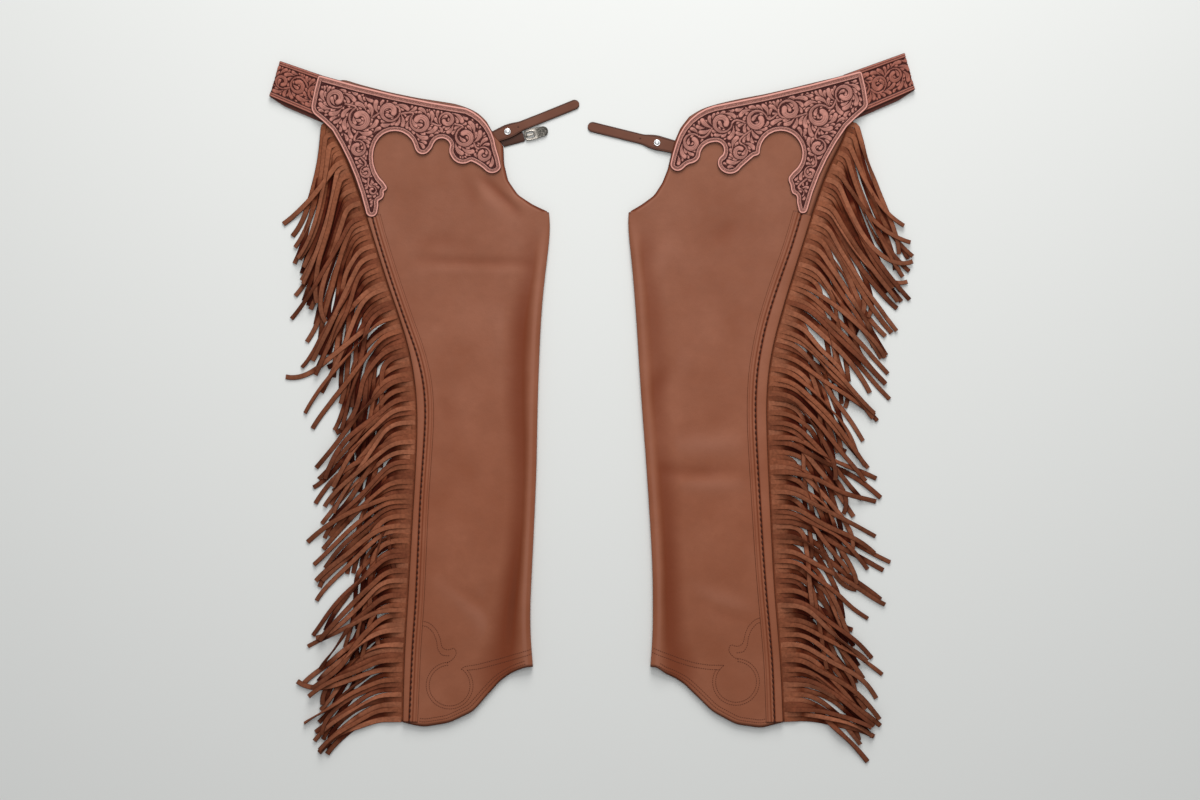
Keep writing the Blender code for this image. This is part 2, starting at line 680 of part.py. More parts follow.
def make_buckle(material):
    """A frame round one hole, with a round end beyond it."""
    frame = BUCKLE_FRAME
    half_length, half_width = frame["length"] / 2, frame["width"] / 2
    hole_half = (frame["hole"][0] / 2, frame["hole"][1] / 2)
    around = 28
    rims = {"outer": [], "inner": []}
    for i in range(around):
        angle = 2 * math.pi * i / around
        way = np.array([math.cos(angle), math.sin(angle)])
        reach = 1 / (abs(way[0] / half_length) ** 4 + abs(way[1] / half_width) ** 4) ** 0.25
        point = way * reach + [half_length, 0]
        if way[0] > 0.72:
            beside = min(abs(point[1]), frame["end_radius"] * 0.98)
            point[0] = frame["end_at"] + math.sqrt(frame["end_radius"] ** 2 - beside**2)
            point[1] = math.copysign(beside, point[1])
        rims["outer"].append(point)
        hole = 1 / (abs(way[0] / hole_half[0]) ** 5 + abs(way[1] / hole_half[1]) ** 5) ** 0.2
        rims["inner"].append(way * hole + [frame["hole_at"], 0])
    maker = bmesh.new()
    low, high = BUCKLE_FLOOR, BUCKLE_FLOOR + frame["thick"]
    rings = [[maker.verts.new(placed("left", *beside_buckle(*point), z)) for point in rims[rim]]
             for rim, z in (("outer", low), ("outer", high), ("inner", high), ("inner", low))]
    for ring, following in zip(rings, rings[1:] + rings[:1]):
        for i in range(around):
            j = (i + 1) % around
            maker.faces.new([ring[i], ring[j], following[j], following[i]])
    return finish("buckle", maker, material)


def make_buckle_tongue(material):
    """The prong, lying in the frame's hole."""
    tongue = BUCKLE_TONGUE
    length, half = BUCKLE_FRAME["hole"][0] - 2 * CLEAR, tongue["width"] / 2
    start = BUCKLE_FRAME["hole_at"] - length / 2
    corners = [(0, -half), (length - tongue["point"], -half), (length, 0), (length - tongue["point"], half), (0, half)]
    outline = [beside_buckle(start + reach, across) for reach, across in corners]
    low = BUCKLE_FLOOR + (BUCKLE_FRAME["thick"] - tongue["thick"]) / 2
    return plate("buckle_tongue", "left", outline, low, low + tongue["thick"], material)


# ---------------------------------------------------------------- the pair


for leftover in list(bpy.data.objects):
    bpy.data.objects.remove(leftover, do_unlink=True)

smooth_leather = leather("smooth_leather", (0.26, 0.095, 0.05), 0.5)
tooled_leather = leather("tooled_leather", (0.36, 0.15, 0.11), 0.45)
fringe_leather = leather("fringe_leather", (0.22, 0.075, 0.04), 0.6)
silver = leather("silver", (0.62, 0.60, 0.56), 0.3, 1.0)

for side_name in SIDES:
    make_leg(side_name, smooth_leather)
    make_yoke(side_name, tooled_leather)
    make_belt(side_name, tooled_leather)
    make_seam_strip(side_name, smooth_leather)
    make_fringe(side_name, fringe_leather)
    make_front_strap(side_name, smooth_leather)
    make_rivet(side_name, silver)
make_buckle_strap(smooth_leather)
make_buckle(silver)
make_buckle_tongue(silver)
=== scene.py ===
"""The looks of a pair of fringed Western show chaps laid flat, face up, on a pale floor.

The sections follow the order in which the chaps are put together. Sizes are in millimetres: "out" runs from
the line between the legs towards either side, "up" from the middle of the pair towards the belt.
"""

import math
import random

import bmesh
import bpy
import numpy as np
from mathutils.bvhtree import BVHTree
from mathutils.kdtree import KDTree
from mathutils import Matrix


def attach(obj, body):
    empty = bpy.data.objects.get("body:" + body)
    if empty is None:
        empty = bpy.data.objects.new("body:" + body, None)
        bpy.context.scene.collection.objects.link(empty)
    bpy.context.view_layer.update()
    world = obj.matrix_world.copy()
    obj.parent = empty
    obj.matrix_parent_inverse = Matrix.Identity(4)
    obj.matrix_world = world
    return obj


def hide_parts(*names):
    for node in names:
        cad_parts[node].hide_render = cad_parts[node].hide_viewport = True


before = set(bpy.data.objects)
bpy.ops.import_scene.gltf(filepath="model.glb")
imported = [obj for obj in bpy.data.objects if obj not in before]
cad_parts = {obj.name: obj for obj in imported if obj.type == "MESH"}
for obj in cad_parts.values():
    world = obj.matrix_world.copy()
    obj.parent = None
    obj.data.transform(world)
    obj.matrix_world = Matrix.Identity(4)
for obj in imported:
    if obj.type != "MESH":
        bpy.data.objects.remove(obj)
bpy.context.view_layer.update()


# ---------------------------------------------------------------- camera
# The camera looks straight down on the middle of the pair from 2.5 m up. It takes in a margin of floor on
# every side.
VIEW_WIDTH = 1.8
VIEW_CENTRE = (0.0118, 0.0103)
LENS = 50
FILM = 36

camera_data = bpy.data.cameras.new("overhead_camera")
camera_data.lens = LENS
camera_data.sensor_width = FILM
overhead = bpy.data.objects.new("overhead_camera", camera_data)
overhead.location = (*VIEW_CENTRE, VIEW_WIDTH * LENS / FILM)
bpy.context.scene.collection.objects.link(overhead)
bpy.context.scene.camera = overhead


# ---------------------------------------------------------------- legs
# Each leg is one panel of smooth reddish brown chap leather, 2 mm thick. It is folded over at the inseam, so
# its back layer lies on the floor and its front layer lies on top. Its cut edges are burnished dark.
MM = 0.001
SIDES = {"left": -1, "right": 1}
LEG_WALL = 2.0
BACK_MIDDLE = LEG_WALL / 2
FRONT_MIDDLE = 5.6
FRONT_TOP = FRONT_MIDDLE + LEG_WALL / 2

# Corners of a leg's plan: up of the crotch and of the fold's foot, the front corner, out of the belt
# corner, and up of the seam's foot and head
CROTCH_UP = 291.3
LEG_CORNERS = {
    "left": {"fold_foot": -388.7, "front": (158.8, 426.8), "belt": 377.6, "seam": (-471.8, 488.5)},
    "right": {"fold_foot": -388.9, "front": (145.0, 434.1), "belt": 371.5, "seam": (-471.8, 494.5)},
}

# How strongly the front stands up beside the fold, and how far in from the fold its trough lies: (up, left
# strength, left trough, right strength, right trough)
FOLD_ROLL = [
    (-390, 0.9, 42, 0.85, 36), (-350, 1.1, 33, 0.9, 27), (-290, 1.2, 27, 0.95, 24), (-230, 1.1, 23, 0.95, 24),
    (-170, 0.85, 21, 0.85, 24), (-110, 0.85, 21, 0.75, 24), (-50, 0.9, 23, 0.5, 23), (10, 0.95, 26, 0.65, 21),
    (70, 1.0, 28, 0.5, 24), (115, 1.0, 28, 0.5, 24), (160, 0.85, 25, 0.6, 23), (205, 0.6, 21, 0.55, 20),
    (250, 0.35, 24, 0.45, 24), (300, 0.05, 30, 0.15, 26),
]
ROLL_DEPTH = 7.5
ROLL_HEIGHT = 4.6
TROUGH_DEPTH = 1.3
# How far in from the fold the painted highlight on the roll's crest lies
CREST_IN = 9.5
PINCHED_ROLL = 2.1

# Creases on the front: (out and up of one end, out and up of the other, half width, rise)
CREASES = {
    "left": [
        (258, 221, 96, 216, 9, -1.5), (255, 205, 104, 203, 9, 0.9), (268, 246, 180, 240, 12, -0.7),
        (168, 344, 108, 288, 8, -2.0), (178, 336, 128, 284, 12, 0.9), (192, 350, 176, 290, 12, -0.8),
        (150, 330, 96, 296, 9, 0.8), (246, 22, 205, -28, 18, -0.7), (150, 190, 118, 60, 17, 0.5),
        (240, -255, 158, -330, 13, 0.8), (222, -262, 150, -318, 11, -0.8), (172, -265, 160, -345, 12, 0.5),
    ],
    "right": [
        (96, -92, 222, -92, 11, -1.2), (110, -57, 232, -50, 15, 0.9), (120, -117, 228, -117, 12, 0.8),
        (128, 68, 92, 16, 15, -0.8), (150, 86, 118, 30, 15, 0.5), (232, 268, 176, 250, 15, -0.8),
        (120, 250, 86, 180, 14, 0.5), (238, -300, 152, -268, 14, 0.6), (232, -318, 160, -292, 11, -0.6),
    ],
}
CREASE_RISE = 1.25


def reach_across(node, along, places):
    """Where a node begins and ends across the plan, at each place along x (0) or y (1)."""
    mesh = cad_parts[node].data
    points = np.array([vertex.co for vertex in mesh.vertices]) / MM
    edges = np.array([edge.vertices for edge in mesh.edges])
    start, end = points[edges[:, 0]], points[edges[:, 1]]
    found = []
    for place in places:
        crossing = (start[:, along] - place) * (end[:, along] - place) <= 0
        crossing &= start[:, along] != end[:, along]
        first, last = start[crossing], end[crossing]
        share = (place - first[:, along]) / (last[:, along] - first[:, along])
        across = first[:, 1 - along] + share * (last[:, 1 - along] - first[:, 1 - along])
        found.append((across.min(), across.max()))
    return np.array(found)


def run_along(line):
    """How far along a polyline each of its points is."""
    return np.concatenate([[0], np.cumsum(np.hypot(*np.diff(line[:, :2], axis=0).T))])


def spread(line, count, first=0, last=1):
    """Even points on a polyline, between two shares of its length, or at the shares in count."""
    run = run_along(line)
    shares = np.linspace(first, last, count) if isinstance(count, int) else np.array(count)
    return np.column_stack([np.interp(shares * run[-1], run, column) for column in line.T])


def sideways(line):
    """The direction square to a polyline at each of its points, to the right of the way it goes."""
    way = np.gradient(line, axis=0)
    way /= np.hypot(*way.T)[:, None]
    return np.column_stack([way[:, 1], -way[:, 0]])


def smoothed(line, passes):
    """A polyline with its corners eased, its ends kept."""
    line = line.copy()
    for _ in range(passes):
        line[1:-1] = (line[:-2] + 2 * line[1:-1] + line[2:]) / 4
    return line


def plan_edge(side, along, low, high, farther, passes=30):
    """One edge of a leg's plan between two places, as points (out, up)."""
    sign = SIDES[side]
    places = np.linspace(low, high, 160)
    if along == 1:
        across = reach_across(f"leg_{side}", 1, places)
        out = across[:, 1] if (sign > 0) == farther else across[:, 0]
        return smoothed(np.column_stack([sign * out, places]), passes)
    across = reach_across(f"leg_{side}", 0, sign * places)
    return smoothed(np.column_stack([places, across[:, 1] if farther else across[:, 0]]), passes)


def leg_outline(side):
    """The edges of a leg's plan: the seam, the fold, the open front edge above it, the hem and the top."""
    corners = LEG_CORNERS[side]
    seam = plan_edge(side, 1, *corners["seam"], True)
    fold = plan_edge(side, 1, corners["fold_foot"], CROTCH_UP, False)
    front = plan_edge(side, 1, CROTCH_UP, corners["front"][1], False, passes=12)
    hem = plan_edge(side, 0, seam[0][0] - 0.1, fold[0][0] + 0.1, False)
    top = plan_edge(side, 0, corners["belt"], corners["front"][0], True)
    return seam, fold, front, hem, top


def ease(value):
    value = np.clip(value, 0, 1)
    return value * value * (3 - 2 * value)


def roll_beside_fold(side, inward, up):
    """How far the front stands off its flat height beside the fold, and how much painted shade it gets in its
    trough, less a painted highlight on its crest.
    """
    at, *columns = np.array(FOLD_ROLL, float).T
    columns = columns[:2] if side == "left" else columns[2:]
    strength, trough = (np.interp(up, at, column) for column in columns)
    fall = ease((inward - ROLL_DEPTH) / (trough - ROLL_DEPTH))
    beyond = ease((inward - trough) / (trough * 1.3))
    depth = np.where(inward < trough, ease((inward - 10) / (trough * 0.9 - 10)), 1 - beyond)
    crest = np.exp(-((inward - CREST_IN) / 4.5) ** 2)
    return strength * ((ROLL_HEIGHT * (1 - fall)) - TROUGH_DEPTH * depth), strength * (depth - 0.3 * crest)


def crease_rise(side, out, up):
    """How far the creases lift or press the front: each is a soft ridge along a slightly bowed line."""
    rise = np.zeros_like(out)
    for out_1, up_1, out_2, up_2, half_width, height in CREASES[side]:
        way = np.array([out_2 - out_1, up_2 - up_1], float)
        reach = np.clip(((out - out_1) * way[0] + (up - up_1) * way[1]) / (way @ way), 0, 1)
        bend = 0.16 * np.hypot(*way) * np.sin(math.pi * reach) * math.sin(out_1 + up_2)
        normal = np.array([-way[1], way[0]]) / np.hypot(*way)
        off = np.hypot(out - out_1 - reach * way[0] - 0.4 * bend * normal[0],
                       up - up_1 - reach * way[1] - 0.4 * bend * normal[1])
        swell = 0.25 + 0.75 * np.sin(math.pi * reach)
        rise += CREASE_RISE * height * np.exp(-((off / half_width) ** 2)) * swell
    return rise


# Points across the front, round the fold and across the back, and rows below and above the crotch
ACROSS_FRONT = 64
ROLL_STEPS = 12
ACROSS_BACK = 16
ROWS_FOLDED = 150
ROWS_OPEN = 44


def leg_grid(side):
    """The plan of a leg's front as rows of points from its seam to its inner edge, and those two edges."""
    seam, fold, front, hem, top = leg_outline(side)
    split = np.searchsorted(seam[:, 1], CROTCH_UP)
    outer, inner = (np.vstack([spread(low, ROWS_FOLDED), spread(high, ROWS_OPEN + 1)[1:]])
                    for low, high in ((seam[:split + 1], seam[split:]), (fold, front)))
    even = np.linspace(0, 1, ACROSS_FRONT)
    across = ease(even * 0.5) * 2 * 0.55 + even * 0.45
    across = 1 - across[::-1] / across.max()
    across = across / across.max()
    foot, head = spread(hem, across), spread(top, across)
    climb = run_along((outer + inner) / 2)
    v = (climb / climb[-1])[:, None, None]
    u = across[None, :, None]
    plan = (1 - u) * outer[:, None] + u * inner[:, None]
    for near, edge in ((ease((0.3 - v) / 0.3), foot), (ease((v - 0.8) / 0.2), head)):
        plan = plan + near * (edge[None] - (1 - u) * edge[0] - u * edge[-1])
    return plan, outer, inner


def roll_reach(rows):
    """How far the fold's roll reaches in from the fold on each row. It pinches flat towards the crotch."""
    row = np.arange(rows)[:, None]
    reach = PINCHED_ROLL + (ROLL_DEPTH - PINCHED_ROLL) * ease((ROWS_FOLDED - 1 - row) / 9)
    return np.where(row < ROWS_FOLDED, reach, 0)


# Where the front's cut edge is open, it is burnished this wide and fades out over the next part. Creases and
# waves start this far from the seam and are whole after the next part.
BURNISHED = (2.4, 1.6)
FLAT_BY_SEAM = (20, 26)


def leg_front(side):
    """The front layer of a leg: out, up and height of its middle, and its trough mark: painted shade in its
    fold's trough and crease valleys, a painted highlight on the fold's crest and the crease ridges, and the
    burnish of its open edge.
    """
    plan, outer, inner = leg_grid(side)
    out, up = plan[..., 0], plan[..., 1]
    folded = ease((CROTCH_UP + 4 - up) / 70)
    beside_fold = 1 - np.clip((out - out[:, -1:]) / 60, 0, 1)
    out = out + roll_reach(len(out)) * beside_fold
    inward = out - inner[:, :1]
    roll, trough = roll_beside_fold(side, inward, up)
    quiet = ease((outer[:, :1] - out - FLAT_BY_SEAM[0]) / FLAT_BY_SEAM[1])
    wave = 0.28 * np.sin(up / 61 + 1.7 * np.sin(out / 47)) * np.sin(out / 38 + up / 150 + SIDES[side])
    creases = crease_rise(side, out, up) * quiet
    height = FRONT_MIDDLE + roll * folded + creases + wave * quiet
    off_edge = inward * np.abs(sideways(inner)[:, :1])
    burnish = 1.3 * (1 - ease((off_edge - BURNISHED[0]) / BURNISHED[1]))
    burnish -= 0.3 * np.exp(-((off_edge - 5.0) / 1.2) ** 2)
    # Painted shade in the crease valleys, a painted highlight on their ridges
    trough = trough * folded - 0.3 * creases
    trough[ROWS_FOLDED:] += burnish[ROWS_FOLDED:]
    return out, up, height, trough


# The leather's colour is multiplied by a tint that is a little redder below the knee and darker at the hip:
# (metres up, tint)
LEG_TINT_BY_HEIGHT = [
    (-0.38, (0.99, 0.93, 0.87)), (-0.15, (1.0, 0.91, 0.84)), (0.1, (0.99, 0.97, 0.96)),
    (0.3, (0.91, 0.91, 0.92)),
]


def feed(tree, node, inputs):
    """Sets a node's inputs to values, or links them to the outputs of other nodes."""
    for key, given in inputs.items():
        for value in given if isinstance(given, list) else [given]:
            if isinstance(value, bpy.types.NodeSocket):
                tree.links.new(value, node.inputs[key])
            else:
                node.inputs[key].default_value = (*value, 1) if isinstance(value, tuple) else value


def node_adder(tree):
    """A function that adds a node with these inputs and settings to the tree and gives one of its outputs."""

    def add(kind, inputs=(), output=0, **settings):
        node = tree.nodes.new(kind)
        for name, value in settings.items():
            setattr(node, name, value)
        feed(tree, node, dict(inputs))
        return node.outputs[output]

    return add


class Finish:
    """A material in the making, and the patterns and marks that its colours are mixed by."""

    def __init__(self, name):
        self.material = bpy.data.materials.new(name)
        self.material.use_nodes = True
        self.add = node_adder(self.material.node_tree)
        self.place = self.add("ShaderNodeTexCoord", output="Object")

    def mark(self, key):
        return self.add("ShaderNodeAttribute", output="Fac", attribute_name=key)

    def noise(self, scale, detail, roughness=0.5):
        inputs = {"Vector": self.place, "Scale": scale, "Detail": detail, "Roughness": roughness}
        return self.add("ShaderNodeTexNoise", inputs, "Fac")

    def cells(self, scale, feature="F1"):
        inputs = {"Vector": self.place, "Scale": scale}
        return self.add("ShaderNodeTexVoronoi", inputs, "Distance", feature=feature)

    def number(self, operation, *terms):
        return self.add("ShaderNodeMath", dict(enumerate(terms)), operation=operation)

    def span(self, value, low, high, first, last):
        inputs = {"Value": value, "From Min": low, "From Max": high, "To Min": first, "To Max": last}
        return self.add("ShaderNodeMapRange", inputs, "Result")

    def ramp(self, value, *stops):
        colour = self.add("ShaderNodeValToRGB", {"Fac": value}, "Color")
        elements = colour.node.color_ramp.elements
        while len(elements) < len(stops):
            elements.new(0.5)
        for element, (at, tone) in zip(elements, stops):
            element.position = at
            element.color = (*tone, 1) if isinstance(tone, tuple) else (tone, tone, tone, 1)
        return colour

    def blend(self, kind, factor, first, second):
        inputs = {0: factor, 6: first, 7: second}
        return self.add("ShaderNodeMix", inputs, 2, data_type="RGBA", blend_type=kind)

    def bump(self, height, strength, distance, under=None, invert=False):
        inputs = {"Height": height, "Strength": strength, "Distance": distance}
        if under:
            inputs["Normal"] = under
        return self.add("ShaderNodeBump", inputs, invert=invert)

    def done(self, inputs):
        feed(self.material.node_tree, self.material.node_tree.nodes["Principled BSDF"], inputs)
        return self.material


def tinted(colour, *tint):
    """A colour times a tint of three numbers, or of one for all three."""
    return tuple(c * t for c, t in zip(colour, tint if len(tint) == 3 else tint * 3))


def smooth_leather(name, colour, deep, shine, grain_size):
    """Chap leather: mottled dye, painted shade in the troughs and grooves, a painted highlight on the crests,
    fine pebbled grain and burnished edges.
    """
    work = Finish(name)
    broad = work.span(work.noise(13, 4), 0.34, 0.68, 0.0, 1.0)
    fine = work.span(work.noise(60, 4, 0.6), 0.4, 0.75, 0.0, 0.45)
    dye = work.blend("MIX", broad, tinted(colour, 0.9, 0.84, 0.78), tinted(colour, 1.06, 1.09, 1.12))
    dye = work.blend("MIX", fine, dye, tinted(colour, 0.86))
    up = work.add("ShaderNodeSeparateXYZ", {0: work.place}, "Y")
    height_tint = work.ramp(work.span(up, -0.5, 0.5, 0.0, 1.0), *((0.5 + at, tint) for at, tint in LEG_TINT_BY_HEIGHT))
    dye = work.blend("MULTIPLY", 1.0, dye, height_tint)
    # Below zero the trough mark paints a highlight on crests; from 0 to 1 it paints shade in troughs, crease
    # valleys and grooves; past 1.05 it goes on to the dark of burnished edges and creased lines, which also
    # serves as painted shade in grooves and punched holes
    crest, burnish_and_shade = tuple(c * 1.1 + 0.02 for c in colour), tinted(deep, 0.3)
    for key, low, high, most, tone in (("trough", 0.0, -0.4, 0.7, crest), ("trough", 0.03, 1.0, 0.92, deep),
                                       ("trough", 1.05, 1.6, 0.8, burnish_and_shade), ("edge", 0.0, 1.0, 0.85, burnish_and_shade)):
        dye = work.blend("MIX", work.span(work.mark(key), low, high, 0.0, most), dye, tone)
    grain = work.bump(work.span(work.cells(1 / grain_size), 0.0, 0.7, 0.0, 1.0), 0.18, 0.0003)
    surface = work.bump(work.noise(85, 4, 0.55), 0.25, 0.0012, grain)
    shine = work.span(work.noise(40, 3), 0.3, 0.7, shine - 0.05, shine + 0.07)
    return work.done({"Base Color": dye, "Specular IOR Level": 0.16, "Normal": surface, "Roughness": shine})


CHAP_BROWN = (0.268, 0.096, 0.0515)
# The colour that the painted shade in the troughs goes to
CHAP_DEEP = (0.160, 0.032, 0.009)
leg_leather = smooth_leather("leg_leather", CHAP_BROWN, CHAP_DEEP, 0.5, 0.0011)


def mesh_of(name, points, edges, faces):
    """A mesh in metres from points in mm."""
    mesh = bpy.data.meshes.new(name)
    mesh.from_pydata((points * MM).tolist(), edges, np.asarray(faces).tolist())
    return mesh


def add_mark(mesh, key, numbers):
    """Gives each point of a mesh a number that its material reads."""
    mesh.attributes.new(key, "FLOAT", "POINT").data.foreach_set("value", np.asarray(numbers, np.float32))


def cells_round(kept):
    """How many of a grid's kept cells meet at each of its points."""
    return sum(np.pad(kept.astype(int), ((i, 1 - i), (j, 1 - j))) for i in (0, 1) for j in (0, 1))


def add_piece(mesh, material):
    """Puts a mesh into the scene as a smooth piece of this material that rides on the chaps."""
    mesh.materials.clear()
    mesh.materials.append(material)
    maker = bmesh.new()
    maker.from_mesh(mesh)
    bmesh.ops.recalc_face_normals(maker, faces=maker.faces)
    maker.to_mesh(mesh)
    maker.free()
    mesh.shade_smooth()
    piece = bpy.data.objects.new(mesh.name, mesh)
    bpy.context.scene.collection.objects.link(piece)
    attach(piece, "root")
    return piece


def skin_of(name, skins, values, material, kept=None):
    """The wall between two matching grids of points in mm, closed round every edge, as an object in metres.

    values are named grids that the material reads. The rim's points carry "edge" 1.
    """
    kept = np.ones(np.subtract(skins[0].shape[:2], 1), bool) if kept is None else kept
    live = cells_round(kept) > 0
    count = live.sum()
    index = np.zeros(live.shape, int)
    index[live] = np.arange(count)
    r, c = np.nonzero(kept)
    top = np.column_stack([index[r, c], index[r, c + 1], index[r + 1, c + 1], index[r + 1, c]])
    ends = {tuple(end) for i in range(4) for end in top[:, [i, (i + 1) % 4]]}
    rim = np.array([end for end in ends if end[::-1] not in ends])
    faces = np.concatenate([top, (top + count)[:, ::-1], np.column_stack([rim[:, ::-1], rim + count])])
    mesh = mesh_of(name, np.concatenate([skin[live] for skin in skins]), [], faces)
    for key, grid in values.items():
        add_mark(mesh, key, np.tile(grid[live], 2))
    edge = np.zeros(2 * count)
    edge[rim] = edge[rim + count] = 1
    add_mark(mesh, "edge", edge)
    return add_piece(mesh, material)


for side, sign in SIDES.items():
    out, up, height, trough = leg_front(side)
    lean = np.stack([-np.gradient(height, axis=1) / np.gradient(out, axis=1), 0 * height, 1 + 0 * height], -1)
    lean /= np.linalg.norm(lean, axis=-1, keepdims=True)
    front = np.stack([out, up, height], -1)
    fold_x, fold_y, fold_z = (front[:, -1, axis][:, None] for axis in range(3))
    turn = np.pi / 2 - np.pi * np.arange(1, ROLL_STEPS)[None] / ROLL_STEPS
    centre, rise = (fold_z + BACK_MIDDLE) / 2, (fold_z - BACK_MIDDLE) / 2
    columns = np.linspace(ACROSS_FRONT - 1, 0, ACROSS_BACK).round().astype(int)
    half = LEG_WALL / 2
    skins = []
    for more in (half, -half):
        arc = np.stack([fold_x - (roll_reach(len(out)) - half + more) * np.cos(turn), fold_y + 0 * turn,
                        centre + (rise + more) * np.sin(turn)], -1)
        shown = front + lean * more
        shown[:, -1] = front[:, -1] + [0, 0, more]
        shown[:, 0, :2] = front[:, 0, :2]
        back = front[:, columns].copy()
        back[..., 2] = BACK_MIDDLE - more
        skins.append(np.concatenate([shown, arc, back], 1) * (sign, 1, 1))
    kept = np.ones(np.subtract(skins[0].shape[:2], 1), bool)
    kept[ROWS_FOLDED - 1:, ACROSS_FRONT - 1:ACROSS_FRONT + ROLL_STEPS - 1] = False
    values = {"trough": np.pad(trough, ((0, 0), (0, skins[0].shape[1] - ACROSS_FRONT)))}
    leg = skin_of(f"leg_shell_{side}", skins, values, leg_leather, kept)
    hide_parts(f"leg_{side}")


# ---------------------------------------------------------------- fringe
# A strip of thin brown fringe leather is sewn into each outer seam, and its outer part is cut into 124
# strands, each about 190 mm long. They leave the seam square, turn down, and lie in loose bunches over one
# another.
STRANDS = 124
STRIP_IN = 14
STRIP_OUT = 3
STRIP_UNCUT = 6
STRIP_LOW = 2.3
STRAND_WALL = 1.5

# How the strands hang, from hip to hem: (up, degrees below level, degrees more at the tip, length, and the
# length over which they turn from square to the seam)
HANG = [
    (432, 86, -22, 204, 9),
    (360, 80, -22, 206, 20),
    (300, 70, -8, 204, 34),
    (180, 55, 5, 198, 50),
    (60, 50, 5, 195, 56),
    (-60, 45, 5, 190, 56),
    (-200, 41, 6, 186, 56),
    (-320, 37, 8, 178, 56),
    (-420, 29, 16, 160, 56),
    (-472, 12, 34, 138, 56),
]
HANG_LENGTH = {"left": 1.01, "right": 1.02}
# How many degrees the right fringe lies nearer to level than the left one, and how many more at its hip's
# tips
HANG_EASED = {"left": (0, 0), "right": (8, 12)}

# Strands that stray over the others: (side, strand, degrees below level, length)
STRAYS = [
    ("left", 8, 56, 134),
    ("left", 78, 24, 176),
    ("right", 4, 69, 158),
    ("right", 10, 58, 168),
    ("right", 73, 20, 168),
    ("right", 77, 27, 174),
]

# A strand's width along it: (distance from its root, width)
STRAND_WIDTHS = [(0, 8.3), (20, 8.2), (36, 7.8), (90, 7.6), (150, 7.3), (220, 6.8)]
# The least and the most that a strand gets: how far from its root its slits begin, and how far it is cupped
SLIT_FROM = (2, 10)
STRAND_CUP = (0.3, 1.1)
# Of the strands, these shares lie under the others, hang nearer to level, curl at the tip and twist
UNDER_SHARE = 0.5
LEVEL_SHARE = 0.08
CURLED_SHARE = 0.09
TWISTED_SHARE = 0.4
# A strand is laid with its points FINE apart, in the best of some tries, on a pile that is kept as a grid
FINE = 1.5
LAY_TRIES = 12
PILE_CORNER = (200.0, -700.0)
PILE_SIZE = (420, 1180)
PILE_FLOOR = 0.25
# How stiffly a strand spans a gap, and how many points it keeps
STRAND_SAG = 0.0068
GUIDE_STEPS = 34
# Up of the first and the last root, and how far from the seam the floor has to be covered
FRINGE_ENDS = (432, -472.0)
FRINGE_DEPTH = 118
# Below the hip the strands turn down in bunches: (up, over this height)
BELOW_HIP = (330, 120)
NEIGHBOURS = ((0, 0), (4, 0), (-4, 0), (0, 4), (0, -4), (3, 3), (-3, -3), (3, -3), (-3, 3))


def seam_beside(side, count):
    """Points beside the outer seam down the fringe's length, at the strip's outer edge, and the way in."""
    line = leg_outline(side)[0][::-1]
    line = spread(line[(line[:, 1] <= FRINGE_ENDS[0]) & (line[:, 1] >= FRINGE_ENDS[1])], count)
    inward = sideways(line)
    return line - inward * STRIP_OUT, inward


def bunches(dice):
    """For each strand, how many degrees its bunch leans, and its place in the bunch from -1 to 1."""
    rows = []
    while len(rows) < STRANDS:
        size = dice.choice((5, 6, 7, 8, 9))
        lean = dice.gauss(-1, 5.5)
        gather = dice.uniform(1.0, 2.6)
        for place in range(size):
            rows.append((lean, (place - (size - 1) / 2) * gather))
    return rows[:STRANDS]


def strand_run(side, strand, root, away, bunch, under, dice):
    """A strand's plan from root to tip: out, up and distance from the root, every FINE mm."""
    stray = [row for row in STRAYS if row[:2] == (side, strand)]
    heights, *columns = (np.array(column, float)[::-1] for column in zip(*HANG))
    hang, droop, length, turn = (np.interp(root[1], heights, column) for column in columns)
    low = ease((BELOW_HIP[0] - root[1]) / BELOW_HIP[1])
    hang -= HANG_EASED[side][0]
    droop -= HANG_EASED[side][1] * (1 - low)
    hang += (bunch[0] + dice.gauss(0, 3.0)) * (0.12 + 0.88 * low)
    length *= HANG_LENGTH[side] * dice.uniform(0.88, 1.06)
    gather = bunch[1] * (0.3 + 0.7 * low)
    straight, later, steeper = 5, 0.0, 0.0
    if under:
        steep = low * ease((root[1] + 480) / 280)
        hang += bunch[0] * -0.7
        later = 16 + 58 * (under * 0.618 % 1)
        steeper = (83 - HANG_EASED[side][0] - hang) * dice.uniform(0.75, 1.1) * steep
        length *= 0.94
    elif dice.random() < LEVEL_SHARE and low > 0.5:
        hang -= dice.uniform(8, 18)
    if stray:
        hang, length, gather = stray[0][2], stray[0][3], 0.0
    tip_curl = dice.gauss(0, 9)
    if dice.random() < CURLED_SHARE and not stray:
        tip_curl = dice.choice((-1, 1)) * dice.uniform(35, 75)
    if root[1] < -440:
        tip_curl = dice.gauss(0, 6)
    waves = [(dice.uniform(1.0, 4.2) * (0.35 + 0.65 * low), dice.uniform(75, 170),
              dice.uniform(0, 2 * math.pi)) for _ in range(2)]
    leave = math.degrees(math.atan2(-away[1], away[0]))
    turn *= dice.uniform(0.8, 1.05)
    run = np.arange(0, length, FINE)
    share = run / length
    heading = leave + (hang - leave) * ease((run - straight) / turn) + droop * share**2 + tip_curl * share**5
    closing = ease((run - 16) / 50) - 1.35 * ease((run - 95) / 70)
    heading += gather * closing + steeper * ease((run - later) / 38)
    for size, pitch, phase in waves:
        heading += size * np.sin(2 * math.pi * run / pitch + phase) * ease((run - 15) / 45)
    heading = np.radians(heading)
    steps = np.column_stack([np.cos(heading), -np.sin(heading)]) * FINE
    plan = np.asarray(root) + np.vstack([[0, 0], np.cumsum(steps, axis=0)[:-1]])
    return plan, run


def cells_at(points, corner, step, shape, spare=0):
    """The cells of a grid that points fall in, kept this many cells inside its border."""
    return np.clip(np.round((points - corner) / step).astype(int), spare, np.array(shape) - 1 - spare)


